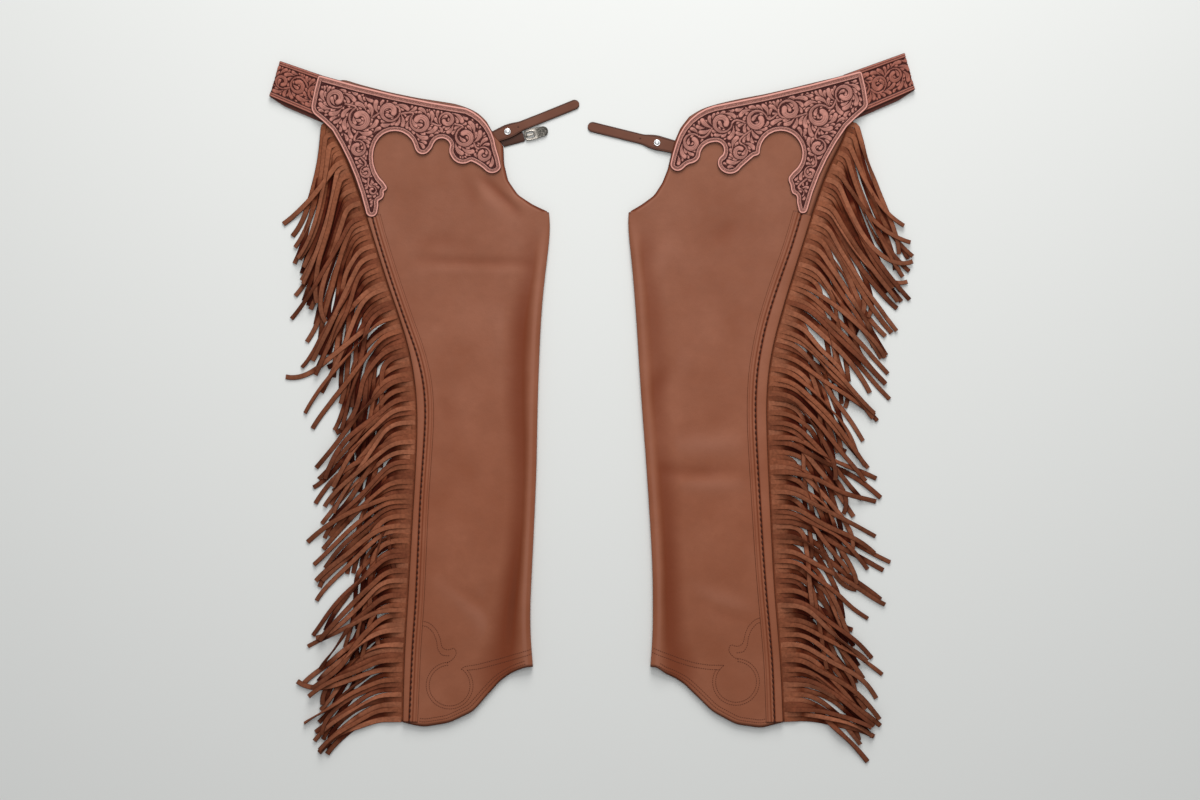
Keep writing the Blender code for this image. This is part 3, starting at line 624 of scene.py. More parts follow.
def lay_down(plan, run, width, pile, corner):
    """The height of a strand's underside once it rests on the pile, which it then adds to."""
    beside = -sideways(plan)
    spots = plan[None] + np.linspace(-0.42, 0.42, 5)[:, None, None] * (width[:, None] * beside)[None]
    cells = cells_at(spots, corner, FINE, pile.shape)
    support = pile[cells[..., 0], cells[..., 1]].max(axis=0)
    support[run < 9] = STRIP_LOW
    height = (support[None] - STRAND_SAG * (run[:, None] - run[None]) ** 2).max(axis=1)
    height = np.maximum(height, PILE_FLOOR)
    height = np.where(run < 16, STRIP_LOW + (height - STRIP_LOW) * ease(run / 16), height)
    for offset in np.linspace(-0.5, 0.5, 9):
        cells = cells_at(plan + offset * width[:, None] * beside, corner, FINE, pile.shape)
        np.maximum.at(pile, (cells[:, 0], cells[:, 1]), height + STRAND_WALL)
    return height


def fringe_guides(side):
    """The middle line of every strand, laid one after another, as rows of points with their values."""
    dice = random.Random(SIDES[side] * 3 + 40)
    outer, inward = seam_beside(side, 2 * STRANDS + 1)
    places = bunches(dice)
    order = list(range(STRANDS))
    strays = {row[1] for row in STRAYS if row[0] == side}
    under = [strand for strand in order
             if strand > 12 and dice.random() < UNDER_SHARE and strand not in strays]
    order.sort(key=lambda strand: dice.uniform(0, 14) - 20 * (strand in under) + 30 * (strand in strays))
    corner = np.array(PILE_CORNER)
    pile = np.full([int(size / FINE) for size in PILE_SIZE], PILE_FLOOR)
    strands = []
    for strand in order:
        tries = []
        for _ in range(1 if strand in strays else LAY_TRIES):
            depth = under.index(strand) + 1 if strand in under else 0
            root, away = outer[2 * strand + 1], -inward[2 * strand + 1]
            plan, run = strand_run(side, strand, root, away, places[strand], depth, dice)
            cells = cells_at(plan, corner, FINE, pile.shape, 2)
            bare = sum(pile[tuple((cells + shift).T)] < 0.3 for shift in ((0, 0), (1, 1), (-1, 1), (1, -1)))
            near = plan[:, 0] < np.interp(plan[:, 1], outer[::-1, 1], outer[::-1, 0]) + FRINGE_DEPTH
            tries.append(((bare * near).sum() + dice.random(), plan, run))
        plan, run = max(tries, key=lambda row: row[0])[1:]
        width = np.interp(run, *np.array(STRAND_WIDTHS, float).T) * dice.uniform(0.9, 1.06)
        height = lay_down(plan, run, width, pile, corner)
        roll = np.radians(dice.gauss(0, 9)) * ease((run - 20) / 40)
        if dice.random() < TWISTED_SHARE:
            middle, wide = dice.uniform(55, 150), dice.uniform(22, 45)
            twist = math.radians(dice.choice((-1, 1)) * dice.uniform(35, 75))
            roll = roll + twist * np.exp(-((run - middle) / wide) ** 2)
        centre = height + STRAND_WALL / 2 + np.abs(np.sin(roll)) * width * 0.36
        centre += 0.06 * (strand % 2)
        first = dice.uniform(*SLIT_FROM), dice.uniform(*SLIT_FROM)
        slits = np.column_stack([0.62 * ease((run - at) / 6) + 0.38 * ease((run - at - 5) / 26)
                                 for at in first])
        cup = dice.uniform(*STRAND_CUP) * ease((run - 14) / 24)
        strands.append((plan, run, width, centre, roll, dice.random(), slits, cup))
    guides = []
    for plan, run, width, centre, roll, tone, slits, cup in strands:
        cells = cells_at(plan, corner, FINE, pile.shape)
        beside = (np.clip(cells + shift, 0, np.array(pile.shape) - 1).T for shift in NEIGHBOURS)
        around = np.mean([pile[tuple(spot)] for spot in beside], axis=0)
        # Painted shade: the more the pile around a strand stands over it, the darker it is painted
        under_shade = np.clip((around - centre - STRAND_WALL / 2) / 2.4, 0, 1) * ease((run - 12) / 22)
        table = np.column_stack([plan, centre, width, roll, np.full(len(run), tone), run / run[-1], under_shade,
                                 slits, 4 * cup])
        stops = run[-1] * np.linspace(0, 1, GUIDE_STEPS) ** 1.12
        guides.append(np.column_stack([np.interp(stops, run, column) for column in table.T]))
    return guides


def growth_tree(name, sizes):
    """An empty geometry tree: how to add to it, its named inputs, and how to end it as a real, dyed mesh."""
    tree = bpy.data.node_groups.new(name, "GeometryNodeTree")
    for size, kind in {"Geometry": "Geometry", **sizes, "Material": "Material"}.items():
        tree.interface.new_socket(size, in_out="INPUT", socket_type=f"NodeSocket{kind}")
    tree.interface.new_socket("Geometry", in_out="OUTPUT", socket_type="NodeSocketGeometry")
    add = node_adder(tree)
    given = add("NodeGroupInput").node.outputs

    def end(geometry):
        real = add("GeometryNodeRealizeInstances", {"Geometry": geometry})
        dyed = add("GeometryNodeSetMaterial", {"Geometry": real, "Material": given["Material"]})
        feed(tree, tree.nodes.new("NodeGroupOutput"), {"Geometry": dyed})
        return tree

    return add, given, end


def strand_sweep():
    """Sweeps a flat, square-cut section along each guide, as wide as its "breadth", turned by its "turn" and
    bowed up along its middle by its "cup"."""
    add, given, end = growth_tree("strand_sweep", {"Thickness share": "Float"})

    def named(key):
        return add("GeometryNodeInputNamedAttribute", {"Name": key}, "Attribute", data_type="FLOAT")

    curve = add("GeometryNodeMeshToCurve", {"Mesh": given["Geometry"]})
    upright = add("GeometryNodeSetCurveNormal", {"Curve": curve}, mode="Z_UP")
    line = add("GeometryNodeSetCurveTilt", {"Curve": upright, "Tilt": named("turn")})
    size = {"Width": 1.0, "Height": given["Thickness share"]}
    section = add("GeometryNodeCurvePrimitiveQuadrilateral", size)
    eased = add("GeometryNodeFilletCurve", {"Curve": section, "Count": 1, "Radius": 0.07}, mode="POLY")
    halved = add("GeometryNodeSubdivideCurve", {"Curve": eased})
    beside = add("ShaderNodeSeparateXYZ", {"Vector": add("GeometryNodeInputPosition")}, "X")
    profile = add("GeometryNodeStoreNamedAttribute", {"Geometry": halved, "Name": "across", "Value": beside})
    sweep = add("GeometryNodeCurveToMesh",
                {"Curve": line, "Profile Curve": profile, "Scale": named("breadth"), "Fill Caps": True})
    bend = add("GeometryNodeInputMeshEdgeAngle", output="Unsigned Angle")
    smooth = add("FunctionNodeCompare", {"A": bend, "B": math.radians(28)}, operation="LESS_THAN")
    cut = add("GeometryNodeSetShadeSmooth", {"Geometry": sweep, "Shade Smooth": smooth}, domain="EDGE")
    square = add("ShaderNodeMath", {0: named("across"), 1: named("across")}, operation="MULTIPLY")
    bow = add("ShaderNodeMath", {0: 0.25, 1: square}, operation="SUBTRACT")
    rise = add("ShaderNodeMath", {0: bow, 1: named("cup")}, operation="MULTIPLY")
    up = add("ShaderNodeCombineXYZ", {"Z": rise})
    return end(add("GeometryNodeSetPosition", {"Geometry": cut, "Offset": up}))


def grown(name, guides, values, tree, settings):
    """The mesh that a geometry tree makes from lines of points in mm, as a plain mesh in metres."""
    starts = np.cumsum([0] + [len(guide) for guide in guides])
    edges = [(i, i + 1) for first, last in zip(starts, starts[1:]) for i in range(first, last - 1)]
    table = np.concatenate(guides)
    mesh = mesh_of(f"{name}_guides", table[:, :3], edges, [])
    for key, column in values.items():
        add_mark(mesh, key, table[:, column])
    carrier = bpy.data.objects.new(mesh.name, mesh)
    bpy.context.scene.collection.objects.link(carrier)
    growth = carrier.modifiers.new("growth", "NODES")
    growth.node_group = tree
    for item in tree.interface.items_tree:
        if item.in_out == "INPUT" and item.name in settings:
            growth[item.identifier] = settings[item.name]
    made = bpy.data.meshes.new_from_object(carrier.evaluated_get(bpy.context.evaluated_depsgraph_get()))
    made.name = name
    bpy.data.objects.remove(carrier)
    return made


def raised(plan, height, sign=1):
    """Points (out, up) of one side at a height, where sign says the side."""
    return np.stack([sign * plan[..., 0], plan[..., 1], np.broadcast_to(height, plan.shape[:-1])], -1)


def fringe_leather(name):
    """Soft fringe leather: napped top, dark square-cut edges along the slits, partly the cut leather's own
    dark and partly painted shade in the slits, and painted shade where a strand lies under others.
    """
    work = Finish(name)
    dye = work.ramp(work.mark("tone"), (0.0, (0.165, 0.046, 0.021)), (0.5, (0.225, 0.071, 0.033)),
                    (1.0, (0.280, 0.098, 0.050)))
    upper_edge = work.ramp(work.number("ADD", work.mark("across"), 0.5), (0.49, 0.0), (0.51, 1.0))
    slit = work.blend("MIX", upper_edge, work.mark("slit_below"), work.mark("slit_above"))
    off_middle = work.number("ABSOLUTE", work.mark("across"))
    # Dark edges along the slits: partly the cut leather's own dark, partly painted shade in the slits
    edge = work.ramp(off_middle, (0.37, 1.0), (0.45, (0.34, 0.16, 0.09)), (0.5, 0.6))
    nap = work.ramp(work.noise(260, 4), (0.3, 0.78), (0.7, 1.15))
    patch = work.ramp(work.noise(35, 2), (0.3, 0.85), (0.7, 1.1))
    tip = work.ramp(work.mark("reach"), (0.0, 1.0), (0.55, 1.0), (1.0, 0.66))
    shade = work.ramp(work.mark("under_shade"), (0.0, 1.0), (0.5, (0.54, 0.37, 0.27)), (1.0, (0.25, 0.075, 0.025)))
    for factor, tint in ((1.0, nap), (1.0, patch), (1.0, tip), (1.0, shade), (slit, edge)):
        dye = work.blend("MULTIPLY", factor, dye, tint)
    return work.done({"Base Color": dye, "Roughness": 0.75, "Specular IOR Level": 0.09,
                      "Normal": work.bump(work.noise(600, 4), 0.35, 0.0004)})


napped_leather = fringe_leather("napped_fringe_leather")
sweep_strands = strand_sweep()

for side, sign in SIDES.items():
    guides = fringe_guides(side)
    for guide in guides:
        guide[:, (0, 4)] *= sign
        guide[:, (3, 10)] *= MM
    marks = ("breadth", "turn", "tone", "reach", "under_shade", "slit_below", "slit_above", "cup")
    settings = {"Thickness share": STRAND_WALL / 7.4, "Material": napped_leather}
    strands = grown(f"fringe_strands_{side}", guides, dict(zip(marks, range(3, 11))), sweep_strands, settings)
    strands = add_piece(strands, napped_leather)
    outer, inward = seam_beside(side, 180)
    insets = (-STRIP_UNCUT, 0, STRIP_OUT, STRIP_OUT + STRIP_IN)
    plan = np.stack([outer + inward * inset for inset in insets], 1)
    flat = np.zeros(plan.shape[:2])
    # The strip is painted in shade towards the seam's lip and under it
    shade = {"tone": flat + 0.5, "reach": flat, "under_shade": flat + [0.0, 0.2, 0.45, 0.6], "across": flat,
             "slit_below": flat, "slit_above": flat}
    skins = [raised(plan, height, sign) for height in (STRIP_LOW + STRAND_WALL + 0.03, STRIP_LOW)]
    strip = skin_of(f"fringe_strip_{side}", skins, shade, napped_leather)
    for piece in (strands, strip):
        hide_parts(f"fringe_{side}")


# ---------------------------------------------------------------- seam strips and saddle stitch
# A narrow strip of the leg's leather covers each outer seam. A heavy dark thread is sewn down it in a groove,
# which leaves a smooth lip outside and a scalloped ridge with two fine creased lines inside.

# The stitch line from hip to hem: (up, out)
STITCH_LINE = {
    "left": [
        (284.8, 330.3), (265.3, 325.8), (193.3, 303.3), (127.3, 280.8), (79.3, 262.8), (35.8, 252.8),
        (-7.7, 250.0), (-49.7, 252.2), (-136, 258.2), (-226.7, 262.2), (-289.7, 264.9), (-363.2, 270.2),
        (-471.2, 274.8),
    ],
    "right": [
        (289.8, 314.6), (238.3, 299.7), (200.8, 286.0), (158.8, 271.6), (115.3, 258.8), (58.3, 248.3),
        (10.0, 245.4), (-30.0, 245.8), (-75.2, 248.3), (-147.2, 252.6), (-219.2, 257.0), (-276.2, 261.4),
        (-331.7, 266.6), (-388.7, 271.3), (-471.7, 274.2),
    ],
}
STITCH_PITCH = 8.6
# The strip's section: (share of the lip's width, mm past the lip, height, darkness, scallop). The darkness
# lies in its grooves and low edges, partly the pressed and burnished leather's own dark and partly painted
# shade.
SEAM_SECTION = [
    (0.02, 0, 6.95, 0.3, 0), (0.03, 0, 7.5, 0.1, 0), (0.14, 0, 8.05, 0, 0), (0.4, 0, 8.35, 0, 0),
    (0.7, 0, 8.35, 0, 0), (0.9, 0, 8.1, 0, 0), (1, 0, 7.6, 0.75, 0), (1, 0.9, 7.15, 1.0, 0),
    (1, 2.0, 7.3, 0.9, 0.6), (1, 2.9, 8.0, 0.25, 1), (1, 3.7, 8.45, 0, 1), (1, 4.6, 8.35, 0, 0.5),
    (1, 5.5, 7.85, 0.35, 0), (1, 6.2, 7.45, 0.75, 0), (1, 6.9, 7.8, 0.3, 0), (1, 7.9, 8.15, 0, 0),
    (1, 9.4, 8.15, 0, 0), (1, 10.5, 7.8, 0.2, 0), (1, 11.2, 7.5, 0.45, 0), (1, 11.9, 7.75, 0.1, 0),
    (1, 13.0, 7.6, 0, 0), (1, 14.0, 6.95, 0, 0),
]


def stitch_line(side, spacing):
    """The stitch line as even points (out, up), with the way in from it and the lip's width beside it."""
    rows = np.array(STITCH_LINE[side], float)
    up = np.linspace(rows[0, 0], rows[-1, 0], 240)
    line = smoothed(np.column_stack([np.interp(up, *rows[::-1].T), up]), 60)
    length = np.hypot(*np.diff(line, axis=0).T).sum()
    line = spread(line, int(length / spacing) + 1)
    inward = sideways(line)
    seam = leg_outline(side)[0]
    lip = (np.interp(line[:, 1], seam[:, 1], seam[:, 0]) - line[:, 0]) * np.abs(inward[:, 0])
    return line, inward, lip, length


def waxed_thread(name, dark, light):
    """Twisted thread, rubbed with wax, that goes from dark to light along its fibres."""
    work = Finish(name)
    dye = work.ramp(work.noise(900, 2), (0.0, dark), (1.0, light))
    return work.done({"Base Color": dye, "Roughness": 0.6, "Specular IOR Level": 0.2})


def stitch_tree():
    """Lays a rounded stitch every Pitch along each guide, turned by Slant and a little at random."""
    sizes = dict.fromkeys(("Pitch", "Stitch length", "Thread", "Slant"), "Float")
    add, given, end = growth_tree("saddle_stitches", {**sizes, "Seed": "Int"})
    curve = add("GeometryNodeMeshToCurve", {"Mesh": given["Geometry"]})
    places = add("GeometryNodeCurveToPoints", {"Curve": curve, "Length": given["Pitch"]}, mode="LENGTH")
    bead = add("GeometryNodeMeshUVSphere", {"Segments": 8, "Rings": 6, "Radius": 0.5})
    thread, length = given["Thread"], given["Stitch length"]
    scale = add("ShaderNodeCombineXYZ", {"X": thread, "Y": thread, "Z": length})
    stitch = add("GeometryNodeTransform", {"Geometry": bead, "Scale": scale})
    wobble = add("FunctionNodeRandomValue", {2: -0.07, 3: 0.07, "Seed": given["Seed"]}, 1)
    lean = add("ShaderNodeMath", {0: given["Slant"], 1: wobble})
    spin = add("FunctionNodeAxisAngleToRotation", {"Angle": lean})
    along = places.node.outputs["Rotation"]
    turned = add("FunctionNodeRotateRotation", {"Rotation": along, "Rotate By": spin})
    put = {"Points": places, "Instance": stitch, "Rotation": turned}
    return end(add("GeometryNodeInstanceOnPoints", put))


sew = stitch_tree()
thread = waxed_thread("waxed_brown_thread", (0.018, 0.004, 0.002), (0.062, 0.014, 0.006))
seam_leather = smooth_leather("seam_strip_leather", tinted(CHAP_BROWN, 1.04), CHAP_DEEP, 0.47, 0.0011)

for side, sign in SIDES.items():
    line, inward, lip, length = stitch_line(side, 1.7)
    run = np.linspace(0, length, len(line))
    scallop = 0.5 + 0.5 * np.cos(2 * math.pi * run / STITCH_PITCH)
    grid = np.zeros((len(line), len(SEAM_SECTION), 3))
    dark = np.zeros(grid.shape[:2])
    for column, (share, past, height, darkness, swell) in enumerate(SEAM_SECTION):
        shift = np.where(share < 1, -(1 - share) * (lip - 0.3), past - swell * scallop * 0.9)
        grid[:, column, :2] = line + inward * shift[:, None]
        grid[:, column, 2] = height + swell * (scallop - 0.5) * 0.35
        # The scallop's crests get less of the darkness, a painted highlight
        dark[:, column] = darkness * (1 - 0.35 * swell * scallop)
    grid[..., 0] *= sign
    under = grid.copy()
    under[..., 2] = FRONT_TOP + 0.28
    cover = skin_of(f"seam_cover_{side}", [grid, under], {"trough": dark * 1.6}, seam_leather)
    guide = raised(line + inward * 1.5, 7.75, sign)
    settings = {"Pitch": STITCH_PITCH * MM, "Stitch length": 0.0067, "Thread": 0.0026, "Slant": sign * 0.16,
                "Seed": 3, "Material": thread}
    stitches = grown(f"saddle_stitch_{side}", [guide], {}, sew, settings)
    stitches = add_piece(stitches, thread)
    for piece in (cover, stitches):
        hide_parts(f"seam_strip_{side}")


# ---------------------------------------------------------------- hem stitching
# Two rows of fine brown thread run along each hem, and two more draw a plain boot maker's scallop above it:
# an arch from the seam, a ring and a low curve to the inseam. They go through the front layer only.

# The scallop's rows but for the ring, as points (out, up)
HEM_SCALLOP = {
    "left": [
        [(256.8, -319.7), (243.2, -322.7), (232.8, -333.2), (226.8, -346.7), (225.2, -360.2), (216.2, -364.7),
         (205.8, -359.4), (202.0, -369.2), (208.8, -378.2), (216.2, -382.7)],
        [(256.8, -326.4), (246.2, -328.7), (238.0, -336.9), (232.8, -348.9), (231.2, -362.4), (225.2, -371.4),
         (214.8, -372.2)],
        [(195.3, -392.2), (193.6, -388.6), (171.2, -385.4), (150.2, -379.7), (127.8, -373.7), (106.8, -366.9),
         (87.2, -360.9)],
        [(186.2, -393.9), (168.2, -391.7), (147.2, -386.1), (124.8, -380.0), (103.8, -373.3), (84.2, -367.3)],
    ],
    "right": [
        [(256.2, -313.7), (242.8, -318.2), (233.0, -328.7), (228.5, -340.7), (226.2, -354.2), (217.2, -359.4),
         (206.8, -354.2), (203.4, -364.7), (210.5, -373.7), (218.0, -377.4)],
        [(256.2, -320.4), (245.8, -324.2), (238.2, -333.2), (233.8, -344.4), (232.2, -357.2), (227.0, -366.2),
         (217.2, -367.7)],
        [(196.2, -386.4), (173.8, -386.1), (152.2, -382.7), (130.2, -375.9), (109.2, -367.7), (92.8, -360.9)],
        [(190.2, -393.2), (172.2, -392.4), (150.5, -389.0), (128.4, -382.3), (107.4, -374.0), (90.5, -366.9)],
    ],
}
HEM_RING = {"left": (213.2, -416.7), "right": (215.3, -411.2)}
# The ring's two rows, open at the top: (radius, degrees at which each ends, from level towards the inseam)
HEM_RING_ROWS = {"left": ((30.5, 96, 413), (35.0, 95, 400)), "right": ((30.5, 96, 411), (35.0, 95, 391))}
# How far above the hem its two rows run, and how far they stop short of the seam and of the fold
HEM_ROWS = (7.5, 12.0)
HEM_ROW_ENDS = (24, 9)


def hem_lines(side):
    """Every row of hem stitching as points (out, up) about 3 mm apart."""
    lines = [smoothed(spread(np.array(points), 60), 8) for points in HEM_SCALLOP[side]]
    for size, start, end in HEM_RING_ROWS[side]:
        turn = np.radians(np.linspace(start, end, 64))
        lines.append(np.array(HEM_RING[side]) + size * np.column_stack([-np.cos(turn), np.sin(turn)]))
    hem = spread(leg_outline(side)[3], 90)
    for rise in HEM_ROWS:
        sewn = (hem[:, 0] < hem[0, 0] - HEM_ROW_ENDS[0]) & (hem[:, 0] > hem[-1, 0] + HEM_ROW_ENDS[1])
        lines.append((hem + rise * sideways(hem))[sewn])
    return lines


fine_thread = waxed_thread("fine_brown_thread", (0.070, 0.017, 0.007), (0.130, 0.034, 0.015))

for side, sign in SIDES.items():
    leg = bpy.data.objects[f"leg_shell_{side}"].data
    corners, faces = [point.co for point in leg.vertices], [face.vertices for face in leg.polygons]
    surface = BVHTree.FromPolygons(corners, faces)
    guides = []
    for line in hem_lines(side):
        drops = [surface.ray_cast((out * sign * MM, up * MM, 0.1), (0, 0, -1))[0] for out, up in line]
        guides.append(np.array([(drop.x / MM, drop.y / MM, drop.z / MM + 0.12) for drop in drops if drop]))
    settings = {"Pitch": 3.3 * MM, "Stitch length": 0.0026, "Thread": 0.0009, "Slant": 0.0, "Seed": 5,
                "Material": fine_thread}
    rows = grown(f"hem_stitching_{side}", guides, {}, sew, settings)
    rows = add_piece(rows, fine_thread)
    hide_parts(f"leg_{side}")


# ---------------------------------------------------------------- yokes
# Each yoke is a shaped panel of 3 mm leather, glued and sewn over the top of its leg. It has a smooth
# raised rim with a stippled channel inside it, and its field is carved with scrolls and leaves on a stamped
# dark ground.
YOKE_LOW = 6.9
YOKE_HIGH = 9.9
CARVE_CELL = 0.7

# The rim, from the cut edge inwards: (distance in, height below the top, paleness, darkness, stipple).
# Paleness above 1 on the raised edge is partly its rubbed pale and partly a painted highlight; the darkness
# at the cut edge is partly its burnish and partly painted shade.
RIM = [
    (0.0, 0.75, 0.2, 0.95, 0), (0.5, 0.3, 0.5, 0.5, 0), (1.0, 0.05, 1.3, 0, 0), (2.2, 0.0, 1.35, 0, 0),
    (2.7, 0.3, 0.9, 0.1, 0.3), (3.1, 0.5, 0.6, 0.25, 1), (3.6, 0.4, 0.6, 0.0, 1), (5.4, 0.4, 0.6, 0.0, 1),
    (5.9, 0.15, 1.1, 0, 0.2), (6.5, 0.1, 1.25, 0, 0), (7.0, 0.75, 0.2, 0.95, 0), (7.9, 1.0, 0.0, 0.85, 0),
]
# The plain ground inside the rim, the pitch of the rope stamps and the depth of the stamped ground
RIM_GAP = 0.4
ROPE_PITCH = 2.7
GROUND_DEPTH = 0.95

# Leaves along the scrolls and vines, by length, and the small ones between: (length, width, how often tried)
LEAF_LENGTHS = (23, 20, 17.5, 15, 13, 11, 9, 7.5, 6)
SMALL_LEAVES = [(14, 5.0, 1200), (11, 4.4, 1800), (8, 3.7, 2400), (6, 3.1, 2800), (4.4, 2.4, 3400)]


class Carving:
    """A leather face as a grid of points, with what the tools have done to it."""

    def __init__(self, across, along, inside, margin, dice):
        self.across, self.along, self.inside, self.dice = across, along, inside, dice
        self.depth = np.full(across.shape, GROUND_DEPTH)
        self.dark = np.full(across.shape, 0.3)
        self.pale, self.stipple = np.zeros(across.shape), np.zeros(across.shape)
        self.taken = ~inside | (margin < 0)
        self.corner = np.array([across.min(), along.min()])
        self.step = across[1, 0] - across[0, 0]
        self.scrolls, self.paths = [], []

    def comma(self, spine, half, hand, allowed=1.0):
        """Raises a lobe round this line, as wide as half on each side. Its groove is on the side hand.

        It is left out where more than the allowed share of it is carved already.
        """
        reach = half.max() + 1
        low, high = spine.min(axis=0) - reach - self.corner, spine.max(axis=0) + reach - self.corner
        low = np.maximum(np.floor(low / self.step).astype(int), 0)
        high = np.minimum(np.ceil(high / self.step).astype(int) + 1, self.across.shape)
        where = slice(low[0], high[0]), slice(low[1], high[1])
        x = self.across[where][..., None] - spine[:, 0]
        y = self.along[where][..., None] - spine[:, 1]
        gap = np.hypot(x, y) - half
        nearest = gap.argmin(axis=-1)[..., None]
        edge, x, y = (np.take_along_axis(grid, nearest, -1)[..., 0] for grid in (gap, x, y))
        nearest = nearest[..., 0]
        shape, taken = edge < 0, self.taken[where]
        if shape.sum() < 4 or (shape & taken).sum() > allowed * shape.sum():
            return False
        wide, square = half[nearest], sideways(spine)[nearest]
        beside = -hand * (square[..., 0] * x + square[..., 1] * y)
        share = nearest / (len(spine) - 1)
        dome = np.clip(-edge / wide, 0, 1) ** 0.6
        first, second = ((beside - 0.24 * wide) / 0.38) ** 2, ((beside + 0.42 * wide) / 0.34) ** 2
        groove = np.exp(-first) * np.clip(wide - 0.9, 0, 1) * (share < 0.86)
        groove += np.exp(-second) * np.clip(wide - 1.7, 0, 0.8) * (share < 0.8)
        for grid, made in ((self.depth, 0.6 - 0.28 * dome - 0.3 * share + 0.3 * groove),
                           (self.pale, 0.5 + 0.24 * dome + 0.3 * share), (self.dark, 0.7 * groove)):
            grid[where] = np.where(shape & ~taken, made, grid[where])
        self.taken[where] |= edge < 0.62
        return True

    def scroll(self, centre, radius, hand, start):
        """A band that curls in on itself and swells to a round bud."""
        share = np.linspace(0, 1, 48)
        reach = radius * (0.88 - 0.5 * share)
        turned = start + hand * 2 * math.pi * 1.02 * share
        spine = centre + reach[:, None] * np.column_stack([np.cos(turned), np.sin(turned)])
        half = radius * (0.07 + 0.15 * ease(share / 0.75))
        self.comma(spine, half, hand)
        self.scrolls.append((np.asarray(centre, float), radius, hand, start))
        outer_edge = spine + (spine - centre) / reach[:, None] * half[:, None]
        self.paths.append((outer_edge[:40], hand, True))

    def leaf(self, root, heading, length, width, curl, allowed=0.03):
        """A comma leaf from its stem end, which turns by curl as it goes."""
        share = np.linspace(0, 1, 22)
        turned = heading + curl * share**1.4
        half = width / 2 * (0.16 + 0.84 * ease(share / 0.8))
        steps = np.column_stack([np.cos(turned), np.sin(turned)]) * (length - half[-1]) / 21
        spine = root + np.vstack([[0, 0], np.cumsum(steps, axis=0)[:-1]])
        cells = cells_at(spine[3:], self.corner, self.step, self.taken.shape)
        if self.taken[cells[:, 0], cells[:, 1]].any():
            return False
        return self.comma(spine, half, math.copysign(1, curl), allowed)

    def vines(self):
        """A grooved stem into the start of each scroll from the nearest one before it."""
        share = np.linspace(0, 1, 60)[:, None]
        for place, (centre, radius, hand, start) in list(enumerate(self.scrolls))[1:]:
            back, back_radius, *_ = min(self.scrolls[:place],
                                        key=lambda known: np.hypot(*(known[0] - centre)) - known[1])
            end = centre + 0.88 * radius * np.array([math.cos(start), math.sin(start)])
            way = hand * np.array([math.sin(start), -math.cos(start)])
            gap = back - end
            root = end + gap * max(0.1, 1 - back_radius / np.hypot(*gap))
            pull = end + way * np.hypot(*(root - end)) * 0.6
            line = (1 - share) ** 2 * root + 2 * share * (1 - share) * pull + share**2 * end
            self.comma(line, np.full(60, 1.3), 1)
            self.paths.append((line, 1, False))

    def foliage(self):
        """Comma leaves one after another, each as long as its place allows.

        Round a scroll they sweep on with its curl, and from a stem they spread to both sides like a feather.
        """
        for path, hand, round_scroll in self.paths:
            way, run = np.gradient(path, axis=0), run_along(path)
            for both in ((-hand,) if round_scroll else (1, -1)):
                at = 1.0
                while at < run[-1]:
                    root = np.array([np.interp(at, run, column) for column in path.T])
                    heading = math.atan2(*[np.interp(at, run, column) for column in way.T][::-1])
                    outward = np.array([-math.sin(heading), math.cos(heading)]) * both
                    for length in LEAF_LENGTHS:
                        width = 0.17 * length + 2.4
                        tries = ((0.3, 1.1), (0.25, 0.6))
                        if round_scroll:
                            tries = ((0.5, -0.5 - 0.03 * length), (0.85, -0.9))
                        stem_end = root + outward * 1.5
                        if any(self.leaf(stem_end, heading + both * lean, length, width, both * curl)
                               for lean, curl in tries):
                            at += width * 0.5
                            break
                    at += 1.2

    def small_leaves(self):
        """Fills the ground that is left with small commas that run along what is beside them."""
        spots = np.argwhere(~self.taken)
        points = np.concatenate([path for path, *_ in self.paths])
        ways = np.concatenate([np.gradient(path, axis=0) for path, *_ in self.paths])
        for length, width, tries in SMALL_LEAVES:
            for _ in range(tries):
                spot = tuple(spots[self.dice.randrange(len(spots))])
                if self.taken[spot]:
                    continue
                root = np.array([self.across[spot], self.along[spot]])
                nearest = np.argmin(np.hypot(*(points - root).T))
                way, off = ways[nearest], root - points[nearest]
                side = math.copysign(1, way[0] * off[1] - way[1] * off[0])
                angle = math.atan2(*way[::-1]) + side * (0.35 + self.dice.gauss(0, 0.25))
                self.leaf(root, angle, length * self.dice.uniform(0.9, 1.1), width, side * 0.8)

    def rim(self, distance, run, broad, table):
        """Presses the raised edge, the channel with its slanting rope stamps and the line inside it."""
        scaled = distance / broad
        at, *columns = np.array(table, float).T
        edge = self.inside & (scaled < at[-1])
        for grid, column in zip((self.depth, self.pale, self.dark, self.stipple), columns):
            grid[edge] = np.interp(scaled[edge], at, column)
        rope = np.sin(2 * math.pi * (run + distance) / ROPE_PITCH)
        stamp = np.clip(rope * 1.6 - 0.2, 0, 1) * self.stipple * edge
        self.depth += 0.25 * stamp
        self.dark += 0.6 * stamp

    def fill(self, scrolls):
        """Carves the scrolls, the stems that join them, and leaves over the rest."""
        for out, up, radius, hand, start in scrolls:
            self.scroll((out, up), radius, hand, math.radians(start))
        self.vines()
        self.foliage()
        self.small_leaves()


RIM_STEP = 0.4


